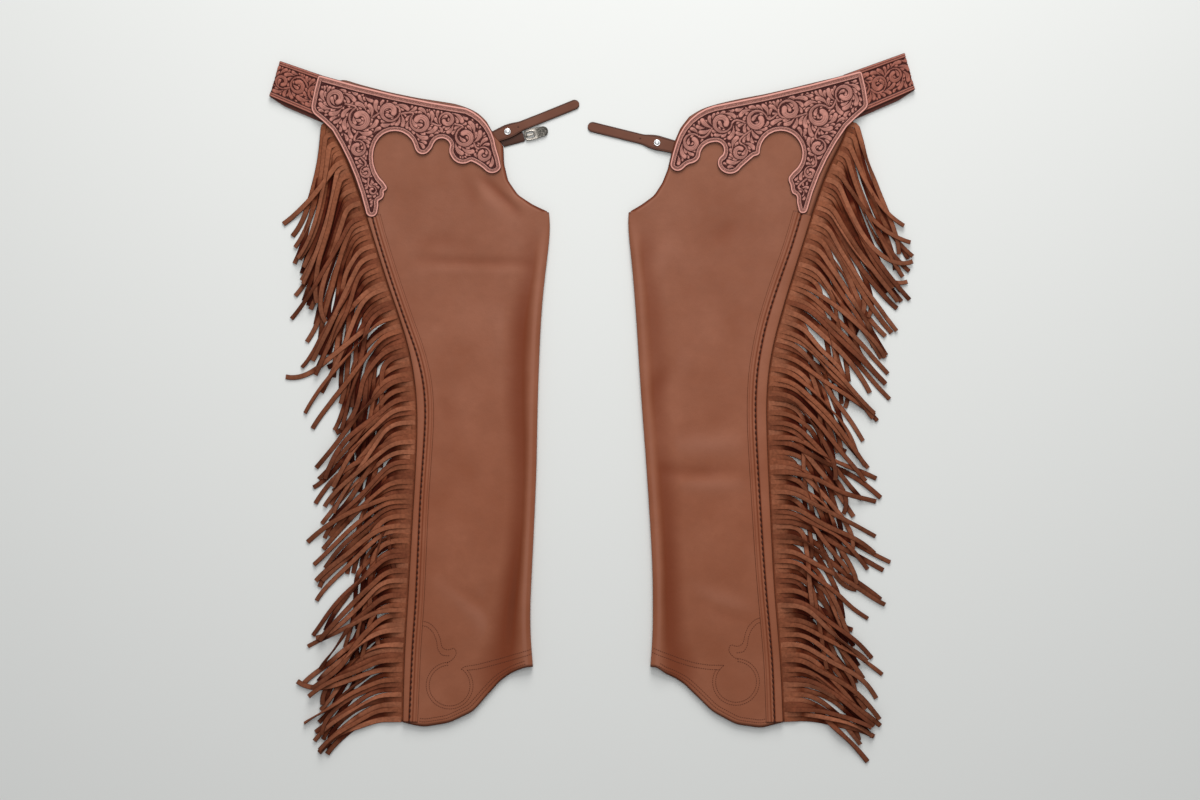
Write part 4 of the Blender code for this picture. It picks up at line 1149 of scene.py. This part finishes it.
def top_rim(node):
    """The closed outline of a flat node's top face, in order, as points (out, up) RIM_STEP apart."""
    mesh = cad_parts[node].data
    points = np.array([vertex.co for vertex in mesh.vertices]) / MM
    high = points[:, 2].max() - 0.01
    keys = [tuple(np.round(point, 2)) for point in points]
    ends = set()
    for face in mesh.polygons:
        ring = [keys[i] for i in face.vertices]
        if min(point[2] for point in ring) > high:
            ends |= set(zip(ring, ring[1:] + ring[:1]))
    following = {a: b for a, b in ends if (b, a) not in ends}
    start = min(following)
    ring = [start]
    while following[ring[-1]] != start:
        ring.append(following[ring[-1]])
    line = np.array(ring + ring[:1])[:, :2]
    length = np.hypot(*np.diff(line, axis=0).T).sum()
    line = spread(line, np.linspace(0, 1, int(length / RIM_STEP)))[:-1]
    for _ in range(26):
        line = (np.roll(line, 1, axis=0) + 2 * line + np.roll(line, -1, axis=0)) / 4
    return line


def inside_of(line, across, along):
    """Whether each point of a grid lies inside a closed line."""
    inside = np.zeros(across.shape, bool)
    for (x1, y1), (x2, y2) in zip(line, np.roll(line, -1, axis=0)):
        if y1 != y2:
            crossed = (along > min(y1, y2)) & (along <= max(y1, y2))
            inside ^= crossed & (across < x1 + (along - y1) * (x2 - x1) / (y2 - y1))
    return inside


def nearest_on(line, points):
    """For each point the nearest point of a line, the distance to it, and its place in the line."""
    tree = KDTree(len(line))
    for i, (x, y) in enumerate(line):
        tree.insert((x, y, 0), i)
    tree.balance()
    near, place, gap = zip(*(tree.find((x, y, 0)) for x, y in points))
    return np.array([spot[:2] for spot in near]), np.array(gap), np.array(place)


def tooled_leather(name, pale, ground, cell):
    """Carved leather: pale rubbed motifs, raised rims paled further with a painted highlight, dark stamped
    ground, stippled channels and oiled grooves.
    """
    work = Finish(name)
    dots, raised = work.cells(1 / cell), work.mark("pale")
    rubbed = work.blend("MULTIPLY", 1.0, pale, work.ramp(work.noise(120, 4), (0.3, 0.84), (0.7, 1.12)))
    stamped = work.blend("MIX", work.ramp(dots, (0.1, 0.34), (0.42, 0.0)), ground, pale)
    carved = work.blend("MIX", work.ramp(raised, (0.05, 0.0), (0.5, 0.62), (1.0, 1.0)), stamped, rubbed)
    # Paleness over 1, on the raised rims, mixes to a near white: partly the rubbed leather's pale, partly a
    # painted highlight
    above = work.ramp(work.number("SUBTRACT", raised, 1.0), (0.0, 0.0), (0.4, 1.0))
    carved = work.blend("MIX", above, carved, tuple(min(1, c * 1.5 + 0.05) for c in pale))
    stippled = work.blend("MIX", work.ramp(dots, (0.16, 1.0), (0.5, 0.0)),
                          tuple(0.3 * g + 0.5 * p for g, p in zip(ground, pale)), tinted(pale, 1.12))
    channel = work.blend("MIX", work.mark("stipple"), carved, stippled)
    oiled = work.blend("MIX", work.mark("dark"), channel, tinted(ground, 0.45))
    pebbles, low = work.ramp(dots, (0.0, 1.0), (0.5, 0.0)), work.ramp(raised, (0.3, 1.0), (0.75, 0.08))
    rough = work.blend("MULTIPLY", 1.0, pebbles, low)
    return work.done({"Base Color": oiled, "Roughness": 0.48, "Specular IOR Level": 0.13,
                      "Normal": work.bump(rough, 0.5, 0.0004)})


YOKE_PALE = (0.47, 0.205, 0.162)
YOKE_GROUND = (0.046, 0.004, 0.003)

# The scrolls carved on each yoke, from its outer end to its front and then down its tail: (out, up, radius,
# hand, where its band begins in degrees)
YOKE_SCROLLS = {
    "left": [
        (383, 461, 16.5, 1, 235), (347, 430, 19.5, -1, 60), (303, 441, 17.5, 1, 190),
        (257, 425, 17.5, -1, 40), (217, 429, 13.5, 1, 330), (190, 403, 17, -1, 70), (162, 377, 13, 1, 60),
        (350, 386, 14, 1, 80), (338, 351, 10.5, -1, 70), (328, 323, 7.2, 1, 80),
    ],
    "right": [
        (377, 468, 16, -1, 235), (340, 435, 19.5, 1, 50), (294, 444, 17.5, -1, 170), (246, 428, 18, 1, 20),
        (221, 381, 13.5, -1, 70), (194, 424, 17, -1, 350), (149, 395, 15.5, 1, 50), (338, 388, 14, -1, 90),
        (326, 350, 11, 1, 75), (311, 319, 7.2, -1, 80),
    ],
}
yoke_leather = tooled_leather("yoke_leather", YOKE_PALE, YOKE_GROUND, 0.0016)


def relief_plate(name, sign, carving, rim, material):
    """A carved plate: its relief on top, a wall down from its rim, and a flat underside."""
    across, along, inside = carving.across.copy(), carving.along.copy(), carving.inside.astype(int)
    kept = inside[:-1, :-1] + inside[1:, :-1] + inside[:-1, 1:] + inside[1:, 1:] >= 3
    for _ in range(4):
        kept[1:, :-1] |= kept[:-1, :-1] & kept[1:, 1:] & ~kept[1:, :-1] & ~kept[:-1, 1:]
        kept[:-1, :-1] |= ~kept[:-1, :-1] & ~kept[1:, 1:] & kept[1:, :-1] & kept[:-1, 1:]
    live = cells_round(kept)
    border, used = (live > 0) & (live < 4), live > 0
    across[border], along[border] = nearest_on(rim, np.column_stack([across[border], along[border]]))[0].T
    depth = np.where(border, RIM[0][1], carving.depth)
    index = np.zeros(across.shape, int)
    index[used] = np.arange(used.sum())
    c, r = np.nonzero(kept)
    faces = np.column_stack([index[c, r], index[c + 1, r], index[c + 1, r + 1], index[c, r + 1]])
    points = np.column_stack([sign * across[used], along[used], YOKE_HIGH - depth[used]])
    mesh = mesh_of(name, points, [], faces)
    # The border's darkness is partly the burnished cut edge, partly painted shade
    for key, at_border in (("pale", 0.0), ("dark", 0.9), ("stipple", 0.0)):
        add_mark(mesh, key, np.where(border, at_border, getattr(carving, key))[used])
    maker = bmesh.new()
    maker.from_mesh(mesh)
    open_edges = [edge for edge in maker.edges if edge.is_boundary]
    for part in bmesh.ops.extrude_edge_only(maker, edges=open_edges)["geom"]:
        if isinstance(part, bmesh.types.BMVert):
            part.co.z = YOKE_LOW * MM
    bmesh.ops.holes_fill(maker, edges=[edge for edge in maker.edges if edge.is_boundary], sides=0)
    maker.to_mesh(mesh)
    maker.free()
    plate = add_piece(mesh, material)
    plate.data.set_sharp_from_angle(angle=math.radians(60))
    return plate


for side, sign in SIDES.items():
    rim = top_rim(f"yoke_{side}")
    rim[:, 0] *= sign
    low, high = rim.min(axis=0) - 2 * CARVE_CELL, rim.max(axis=0) + 2 * CARVE_CELL
    columns = (np.arange(first, last, CARVE_CELL) for first, last in zip(low, high))
    across, along = np.meshgrid(*columns, indexing="ij")
    inside = inside_of(rim, across, along)
    distance, run, broad = np.zeros(across.shape), np.zeros(across.shape), np.ones(across.shape)
    near, gap, place = nearest_on(rim, np.column_stack([across[inside], along[inside]]))
    distance[inside] = gap
    run[inside] = place * RIM_STEP
    broad[inside] = 1 + 0.38 * np.clip((near[:, 1] - along[inside]) / np.maximum(gap, 0.01), 0, 1) ** 2
    margin = distance - (RIM[-1][0] + RIM_GAP) * broad
    carving = Carving(across, along, inside, margin, random.Random(31 + sign))
    carving.rim(distance, run, broad, RIM)
    carving.fill(YOKE_SCROLLS[side])
    yoke = relief_plate(f"yoke_panel_{side}", sign, carving, rim, yoke_leather)
    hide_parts(f"yoke_{side}")


# ---------------------------------------------------------------- belts
# Each yoke is sewn over the end of a carved belt of 2.7 mm leather that goes on behind the waist. Laid out,
# it is rolled under itself at its outer end, and its rear part lies on the floor and shows along its foot.

# A belt's corners, as (out, up): inner top, inner foot, outer top, outer foot
BELT_CORNERS = {
    "left": ((383.0, 488.8), (398.0, 428.8), (468.0, 518.1), (484.0, 465.8)),
    "right": ((376.5, 497.1), (389.5, 434.3), (468.5, 530.1), (484.0, 475.6)),
}
BELT_WALL = 2.7
BELT_HALF = BELT_WALL / 2
BELT_TURN = (FRONT_TOP - BELT_WALL) / 2
# The share of the rear part that is left out, and how far the rear part comes to show below the front one
BELT_REAR_LEFT_OUT = 0.05
BELT_PEEK = 5.0
BELT_CELL = 0.8
BELT_PALE = (0.36, 0.122, 0.085)
BELT_GROUND = (0.040, 0.003, 0.001)

# Its edge, from the cut edge inwards: (distance in, depth, paleness, darkness, rope stamps). Paleness above 1
# on the raised edge is partly its rubbed pale and partly a painted highlight; the darkness at the cut edge is
# partly its burnish and partly painted shade.
BELT_EDGE = [
    (0.0, 0.75, 0.2, 0.95, 0), (0.7, 0.3, 0.6, 0.5, 0), (1.2, 0.05, 1.15, 0, 0), (2.3, 0.0, 1.15, 0, 0),
    (2.8, 0.35, 0.6, 0.2, 1), (4.4, 0.35, 0.6, 0.2, 1), (4.9, 0.1, 1.05, 0, 0), (6.0, 0.1, 1.05, 0, 0),
    (6.6, 0.8, 0.1, 0.95, 0), (7.6, 1.0, 0.0, 0.85, 0),
]
# Its scrolls: (along from the inner end, up from the foot, radius, hand, where the band begins in degrees)
BELT_SCROLLS = {
    "left": [(27, 30, 13, 1, 200), (54, 31, 14, -1, 60), (79, 28, 12, 1, 240)],
    "right": [(24, 31, 13, -1, 60), (49, 29, 14, 1, 300), (76, 32, 13, -1, 110)],
}
belt_leather = tooled_leather("belt_leather", BELT_PALE, BELT_GROUND, 0.0016)


def carve_belt(side, run, width):
    """The carving of a belt's face: along the belt from its inner end, up from its foot."""
    rise = np.arange(int(width / BELT_CELL) + 1) * BELT_CELL
    across, along = np.meshgrid(run, rise, indexing="ij")
    distance, all_of_it = np.minimum(along, rise[-1] - along), np.ones(across.shape, bool)
    margin = distance - BELT_EDGE[-1][0] - RIM_GAP
    carving = Carving(across, along, all_of_it, margin, random.Random(7 + SIDES[side]))
    carving.rim(distance, across, np.ones(across.shape), BELT_EDGE)
    carving.fill(BELT_SCROLLS[side])
    return carving


for side, sign in SIDES.items():
    inner_top, inner_foot, outer_top, outer_foot = (np.array(corner) for corner in BELT_CORNERS[side])
    length = np.hypot(*((outer_top + outer_foot - inner_top - inner_foot) / 2))
    width = (np.hypot(*(inner_top - inner_foot)) + np.hypot(*(outer_top - outer_foot))) / 2
    flat, bent = length - BELT_TURN - BELT_HALF, math.pi * BELT_TURN
    face = np.arange(0, flat + bent, BELT_CELL)
    carving = carve_belt(side, face, width)
    run = np.concatenate([face, np.linspace(flat + bent, 2 * flat + bent - BELT_REAR_LEFT_OUT * length, 16)])
    angle = np.clip((run - flat) / BELT_TURN, 0, math.pi)
    reach = np.minimum(run, flat) + BELT_TURN * np.sin(angle) - np.maximum(run - flat - bent, 0)
    height = BELT_HALF + BELT_TURN * (1 + np.cos(angle))
    peek = BELT_PEEK * np.interp(run - flat - bent, [-bent / 2, 0, 0.25 * length], [0, 0.15, 1])
    share = np.linspace(0, 1, carving.depth.shape[1])[None, :, None]
    skins = []
    spare = ((0, len(run) - len(face)), (0, 0))
    for offset in (BELT_HALF - np.pad(carving.depth, spare), -BELT_HALF * np.ones((len(run), share.size))):
        at = ((reach[:, None] + offset * np.sin(angle)[:, None]) / length)[..., None]
        top = inner_top + (outer_top - inner_top) * at
        foot = inner_foot + (outer_foot - inner_foot) * at
        down = (foot - top) / np.linalg.norm(foot - top, axis=-1, keepdims=True)
        plan = foot + (top - foot) * share + down * peek[:, None, None]
        skins.append(raised(plan, height[:, None] + offset * np.cos(angle)[:, None], sign))
    # The rear part that shows below the front one is painted darker, as painted shade under the front layer
    values = {key: np.pad(getattr(carving, key), spare, constant_values=rear)
              for key, rear in (("pale", 0.3), ("dark", 0.4), ("stipple", 0))}
    belt = skin_of(f"belt_shell_{side}", skins, values, belt_leather)
    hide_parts(f"belt_{side}")


# ---------------------------------------------------------------- front straps
# A short strap of 2 mm harness leather is riveted under each yoke's front corner; the two lace the pair
# together. Each narrows beyond its rivet. Its edges are creased with a hot iron and burnished almost black.

# Its middle line, its widths at the yoke, at the rivet and beyond, and how far along it has its rivet, its
# hole, and the part where it falls from the leg to the floor
FRONT_STRAPS = {
    "left": {"root": (148.0, 403.7), "tip": (19.7, 455.8), "widths": (17.5, 21.5, 14.7), "rivet": 23,
             "hole": 40, "falls": (48, 84)},
    "right": {"root": (123.5, 389.1), "tip": (-6.5, 421.3), "widths": (19.5, 22.5, 15.2), "rivet": 27,
              "hole": 53, "falls": (14, 50)},
}
# How far it goes on inside the leg
STRAP_TUCK = 16
STRAP_WALL = 2.0
STRAP_FLOORS = (LEG_WALL + 0.3, 0.3)
STRAP_BROWN = (0.150, 0.054, 0.030)
STRAP_DEEP = (0.030, 0.008, 0.004)
# A strap's face: (share of its half width, how far below its crown, darkness)
STRAP_SECTION = [
    (0, 0, 0), (0.15, 0, 0), (0.3, 0.0, 0), (0.45, 0.01, 0), (0.6, 0.02, 0), (0.7, 0.05, 0.1),
    (0.77, 0.24, 1.2), (0.83, 0.07, 0.2), (0.92, 0.16, 0.7), (1.0, 0.6, 1.5),
]
NO_HOLE = -99
HOLE_SIZE = 1.1
strap_leather = smooth_leather("strap_leather", STRAP_BROWN, STRAP_DEEP, 0.42, 0.0009)
# The buckle strap's leather is the strap leather darkened: painted shade where it lies under the front strap
shaded_strap_leather = smooth_leather("shaded_strap_leather", tinted(STRAP_BROWN, 0.45), STRAP_DEEP, 0.42, 0.0009)


def strap_skin(name, start, way, reach, half, floor, wall, material, hole=NO_HOLE, slant=0.0):
    """A strap or bar along way from start: its section at each reach, this wide and this high off the floor.

    slant is how many mm further each section reaches at one edge than in the middle.
    """
    rows = np.array(STRAP_SECTION[:0:-1] + STRAP_SECTION, float)
    share = rows[:, 0] * np.repeat((-1, 1), (len(STRAP_SECTION) - 1, len(STRAP_SECTION)))
    beside = np.array([-way[1], way[0]])
    run = reach[:, None] + np.broadcast_to(slant, reach.shape)[:, None] * share
    plan = np.asarray(start) + run[..., None] * way + (half[:, None] * share)[..., None] * beside
    low = np.broadcast_to(np.reshape(floor, (-1, 1)), plan.shape[:2])
    punched = np.exp(-(((reach[:, None] - hole) ** 2 + (half[:, None] * share) ** 2) / HOLE_SIZE**2) ** 2)
    # The punched hole is painted dark: painted shade in the hole
    dark = np.broadcast_to(rows[:, 2], plan.shape[:2]) + 1.5 * punched
    skins = [raised(plan, z) for z in (low + wall - rows[:, 1] - 0.7 * punched, low)]
    return skin_of(name, skins, {"trough": dark}, material)


def front_strap_line(side):
    """A front strap's start and way, with its half width and floor at each reach."""
    strap = FRONT_STRAPS[side]
    root, tip = (np.array(strap[end]) for end in ("root", "tip"))
    length = np.hypot(*(tip - root))
    at_yoke, at_rivet, beyond = (width / 2 for width in strap["widths"])
    rivet, (first, last) = strap["rivet"], strap["falls"]
    rows = [(-STRAP_TUCK, at_yoke), (0, at_yoke), (rivet - 9, at_rivet - 0.6), (rivet, at_rivet),
            (rivet + 9, at_rivet - 0.8), (rivet + 22, beyond), (length, beyond)]
    straight = np.arange(-STRAP_TUCK, length - beyond, 0.9)
    half = smoothed(np.column_stack([straight, np.interp(straight, *zip(*rows))]), 12)[:, 1]
    turn = np.linspace(0, 0.485 * math.pi, 12)
    reach = np.concatenate([straight, length - beyond + beyond * np.sin(turn)])
    half = np.concatenate([half, beyond * np.cos(turn)])
    floor = STRAP_FLOORS[0] + (STRAP_FLOORS[1] - STRAP_FLOORS[0]) * ease((reach - first) / (last - first))
    return root, (tip - root) / length, reach, half, floor


for side, sign in SIDES.items():
    root, way, reach, half, floor = front_strap_line(side)
    mirror = np.array([sign, 1])
    strap = strap_skin(f"front_strap_shell_{side}", root * mirror, way * mirror, reach, half, floor,
                       STRAP_WALL, strap_leather, FRONT_STRAPS[side]["hole"])
    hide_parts(f"front_strap_{side}")


# ---------------------------------------------------------------- rivets
# A domed, nickel plated rivet cap goes through each front strap, a little beyond the yoke. Its thin flange
# lies flat on the leather.
RIVET = {"Cap radius": 0.0041, "Rise": 0.0023, "Flange radius": 0.0043, "Flange thickness": 0.0005}
CLEAR = 0.3


def plated_metal(name, colour, roughness, tarnish):
    """Bright plate with fine scratches, duller where it is tarnished. "engraved" parts are blackened."""
    work = Finish(name)
    scrolls = work.ramp(work.cells(420, "DISTANCE_TO_EDGE"), (0.1, 1.0), (0.3, 0.5))
    cut = work.number("MULTIPLY", scrolls, work.mark("engraved"))
    plate = work.ramp(work.noise(300, 4), (0.3, tinted(colour, 1 - tarnish)), (0.7, colour))
    return work.done({
        "Base Color": work.blend("MIX", cut, plate, (0.045, 0.042, 0.036)), "Metallic": 1.0,
        "Roughness": work.ramp(work.noise(900, 3), (0.3, roughness), (0.7, roughness + 0.12)),
        "Normal": work.bump(cut, 0.6, 0.0003, invert=True),
    })


rivet_plate = plated_metal("nickel_plate", (0.92, 0.91, 0.90), 0.16, 0.08)


def rivet_tree():
    """Puts a domed cap with a round flange on each point."""
    add, given, end = growth_tree("rivet_caps", dict.fromkeys(RIVET, "Float"))
    ball = add("GeometryNodeMeshUVSphere", {"Segments": 40, "Rings": 24, "Radius": 1.0})
    at = add("ShaderNodeSeparateXYZ", {"Vector": add("GeometryNodeInputPosition")}).node.outputs
    upper = add("ShaderNodeMath", {0: at["Z"], 1: 0.0}, operation="MAXIMUM")
    half_ball = add("ShaderNodeCombineXYZ", {"X": at["X"], "Y": at["Y"], "Z": upper})
    radius, rise = given["Cap radius"], given["Rise"]
    sizes = add("ShaderNodeCombineXYZ", {"X": radius, "Y": radius, "Z": rise})
    scaled = add("ShaderNodeVectorMath", {0: half_ball, 1: sizes}, operation="MULTIPLY")
    dome = add("GeometryNodeSetPosition", {"Geometry": ball, "Position": scaled})
    ring = add("GeometryNodeCurvePrimitiveCircle", {"Resolution": 48, "Radius": given["Flange radius"]})
    wire = add("GeometryNodeCurvePrimitiveCircle", {"Resolution": 10, "Radius": given["Flange thickness"]})
    rolled = add("GeometryNodeCurveToMesh", {"Curve": ring, "Profile Curve": wire})
    lift = add("ShaderNodeCombineXYZ", {"Z": given["Flange thickness"]})
    flange = add("GeometryNodeTransform", {"Geometry": rolled, "Translation": lift})
    cap = add("GeometryNodeJoinGeometry", {"Geometry": [dome, flange]})
    return end(add("GeometryNodeInstanceOnPoints", {"Points": given["Geometry"], "Instance": cap}))


set_rivets = rivet_tree()

for side, sign in SIDES.items():
    root, way, reach, _, floor = front_strap_line(side)
    at = FRONT_STRAPS[side]["rivet"]
    seat = raised((root + way * at)[None], np.interp(at, reach, floor) + STRAP_WALL + CLEAR, sign)
    rivet = grown(f"rivet_cap_{side}", [seat], {}, set_rivets, {**RIVET, "Material": rivet_plate})
    rivet = add_piece(rivet, rivet_plate)
    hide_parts(f"rivet_{side}")


# ---------------------------------------------------------------- buckle
# A small cast buckle hangs on a short strap under the left front strap. Its frame has one hole, a prong
# lying in it, and a round end whose field is blackened and engraved.

# Where its bar is and which way it points, out and up, then the sizes of its parts
BUCKLE_BAR = np.array([101.5, 405.6])
BUCKLE_AIM = np.array([-0.966, 0.259])
BUCKLE_STRAP = {"length": 36.7, "slant": 4, "width": 15, "thick": 1.6, "corner": 2}
BUCKLE_FRAME = {"length": 25, "width": 17, "hole": (11, 9), "hole_at": 9, "end_radius": 7.5, "end_at": 29}
BUCKLE_PRONG = {"width": 3.2, "thick": 2.2, "length": 10.4, "start": 3.8}
BUCKLE_FLOOR = 0.3
LEFT = np.array([-1, 1])
# The frame's rounded section: (from its outer edge, from the hole, height)
FRAME_SECTION = [
    (0.6, None, 0.0), (0.1, None, 0.35), (0.0, None, 1.0), (0.0, None, 1.9), (0.25, None, 2.5),
    (0.8, None, 2.9), (1.3, None, 3.0), (1.6, None, 2.75), (2.0, None, 2.65), (None, 1.6, 2.65),
    (None, 1.2, 2.9), (None, 0.8, 2.95), (None, 0.25, 2.5), (None, 0.0, 1.9), (None, 0.0, 1.0),
    (None, 0.1, 0.35), (None, 0.6, 0.0),
]
# The row at which the flat field between the two rims ends
FIELD_ROW = (1.6, 2.65)
# The round end is engraved from this far along, and the bar's end lightly up to here: (along, fade)
ENGRAVED_FROM = (16.5, 4)
ENGRAVED_TO = (9, 5)
buckle_silver = plated_metal("antique_silver", (0.40, 0.365, 0.32), 0.27, 0.55)


def by_buckle(along, across):
    """A point of the buckle's own plane in the plan of the left side: along runs to its round end."""
    beside = np.array([BUCKLE_AIM[1], -BUCKLE_AIM[0]])
    return (BUCKLE_BAR + np.multiply.outer(along, BUCKLE_AIM) + np.multiply.outer(across, beside)) * LEFT


def buckle_rims(around):
    """The frame's outer edge and its hole, as matching points (along, across)."""
    sizes = BUCKLE_FRAME
    angle = 2 * math.pi * np.arange(around) / around
    x, y = np.cos(angle), np.sin(angle)
    half_length, half_width = sizes["length"] / 2, sizes["width"] / 2
    reach = ((np.abs(x) / half_length) ** 4 + (np.abs(y) / half_width) ** 4) ** -0.25
    outer = np.column_stack([x * reach + half_length, y * reach])
    end = x > 0.72
    beside = np.clip(outer[end, 1], -0.98 * sizes["end_radius"], 0.98 * sizes["end_radius"])
    outer[end] = np.column_stack([sizes["end_at"] + np.sqrt(sizes["end_radius"] ** 2 - beside**2), beside])
    across, high = (size / 2 for size in sizes["hole"])
    hole = ((np.abs(x) / across) ** 5 + (np.abs(y) / high) ** 5) ** -0.2
    return outer, np.column_stack([x * hole + sizes["hole_at"], y * hole])


outer, hole = buckle_rims(96)
wide = np.hypot(*(hole - outer).T)
last = np.zeros(len(wide))
maker = bmesh.new()
engraving = maker.verts.layers.float.new("engraved")
rings = []
for from_edge, from_hole, height in FRAME_SECTION:
    share = np.clip(from_edge / wide if from_hole is None else 1 - from_hole / wide, 0, 1)
    field = 1.0 if 2.6 < height < 2.8 else 0.8 if height > 0.9 else 0.4
    for part in np.linspace(0, 1, 7)[1:] if (from_hole, height) == FIELD_ROW else (1,):
        ring = outer + (hole - outer) * (last + (share - last) * part)[:, None]
        beyond, before = ring[:, 0] - ENGRAVED_FROM[0], ENGRAVED_TO[0] - ring[:, 0]
        cut = field * np.maximum(ease(beyond / ENGRAVED_FROM[1]), 0.35 * ease(before / ENGRAVED_TO[1]))
        points = raised(by_buckle(*ring.T), BUCKLE_FLOOR + height) * MM
        rings.append([maker.verts.new(point) for point in points])
        for corner, depth in zip(rings[-1], cut):
            corner[engraving] = depth
    last = share
for ring, following in zip(rings, rings[1:] + rings[:1]):
    for i in range(len(ring)):
        maker.faces.new([ring[i - 1], ring[i], following[i], following[i - 1]])
buckle_mesh = bpy.data.meshes.new("buckle_frame")
maker.to_mesh(buckle_mesh)
maker.free()
buckle = add_piece(buckle_mesh, buckle_silver)
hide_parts("buckle")

aim, sizes = BUCKLE_AIM * LEFT, BUCKLE_PRONG
tip = sizes["length"] - 1.2 * np.cos(np.linspace(0.2, 1.4, 7))
reach = np.sort(np.concatenate([np.linspace(0, sizes["length"] - 1.2, 14), tip]))
half = sizes["width"] / 2 * np.sqrt(np.clip((sizes["length"] - reach) / 2.4, 0, 1) ** 0.9)
prong = strap_skin("buckle_prong", by_buckle(sizes["start"], 0.0), aim, reach, np.maximum(half, 0.15),
                   BUCKLE_FLOOR + 0.4, sizes["thick"], buckle_silver)
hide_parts("buckle_tongue")

sizes = BUCKLE_STRAP
reach = np.arange(-sizes["length"], -CLEAR + 0.01, 0.9)
half = sizes["width"] / 2 - np.clip(reach + CLEAR + sizes["corner"], 0, sizes["corner"])
slant = -sizes["slant"] * ease((-20 - reach) / (sizes["length"] - 20))
buckle_strap = strap_skin("buckle_strap_shell", by_buckle(0.0, 0.0), aim, reach, half, BUCKLE_FLOOR,
                          sizes["thick"], shaded_strap_leather, slant=slant)
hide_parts("buckle_strap")


# ---------------------------------------------------------------- floor and light
# A plain pale floor lies just under the pair. Soft light comes mostly from beyond the belt, with a little
# from overhead and from all round.
floor_mesh = bpy.data.meshes.new("floor")
floor_mesh.from_pydata([(-6, -6, 0), (6, -6, 0), (6, 6, 0), (-6, 6, 0)], [], [(0, 1, 2, 3)])
floor_mesh.materials.append(Finish("pale_floor").done({"Base Color": (0.72, 0.725, 0.70), "Roughness": 0.9}))
floor = bpy.data.objects.new("floor", floor_mesh)
floor.location = (0, 0, -0.0003)
bpy.context.scene.collection.objects.link(floor)

# (name, place, size, power)
LIGHTS = [("window_light", (0.2, 3.0, 1.8), 1.9, 108), ("ceiling_light", (0.0, 0.6, 2.0), 1.3, 12)]
for name, place, size, power in LIGHTS:
    light_data = bpy.data.lights.new(name, "AREA")
    light_data.shape = "SQUARE"
    light_data.size = size
    light_data.energy = power
    light = bpy.data.objects.new(name, light_data)
    light.location = place
    light.rotation_euler = (-light.location).to_track_quat("-Z", "Y").to_euler()
    bpy.context.scene.collection.objects.link(light)

world = bpy.data.worlds.new("studio")
world.use_nodes = True
feed(world.node_tree, world.node_tree.nodes["Background"], {"Color": (0.95, 0.97, 1), "Strength": 0.40})
bpy.context.scene.world = world
bpy.context.scene.view_settings.view_transform = "Standard"
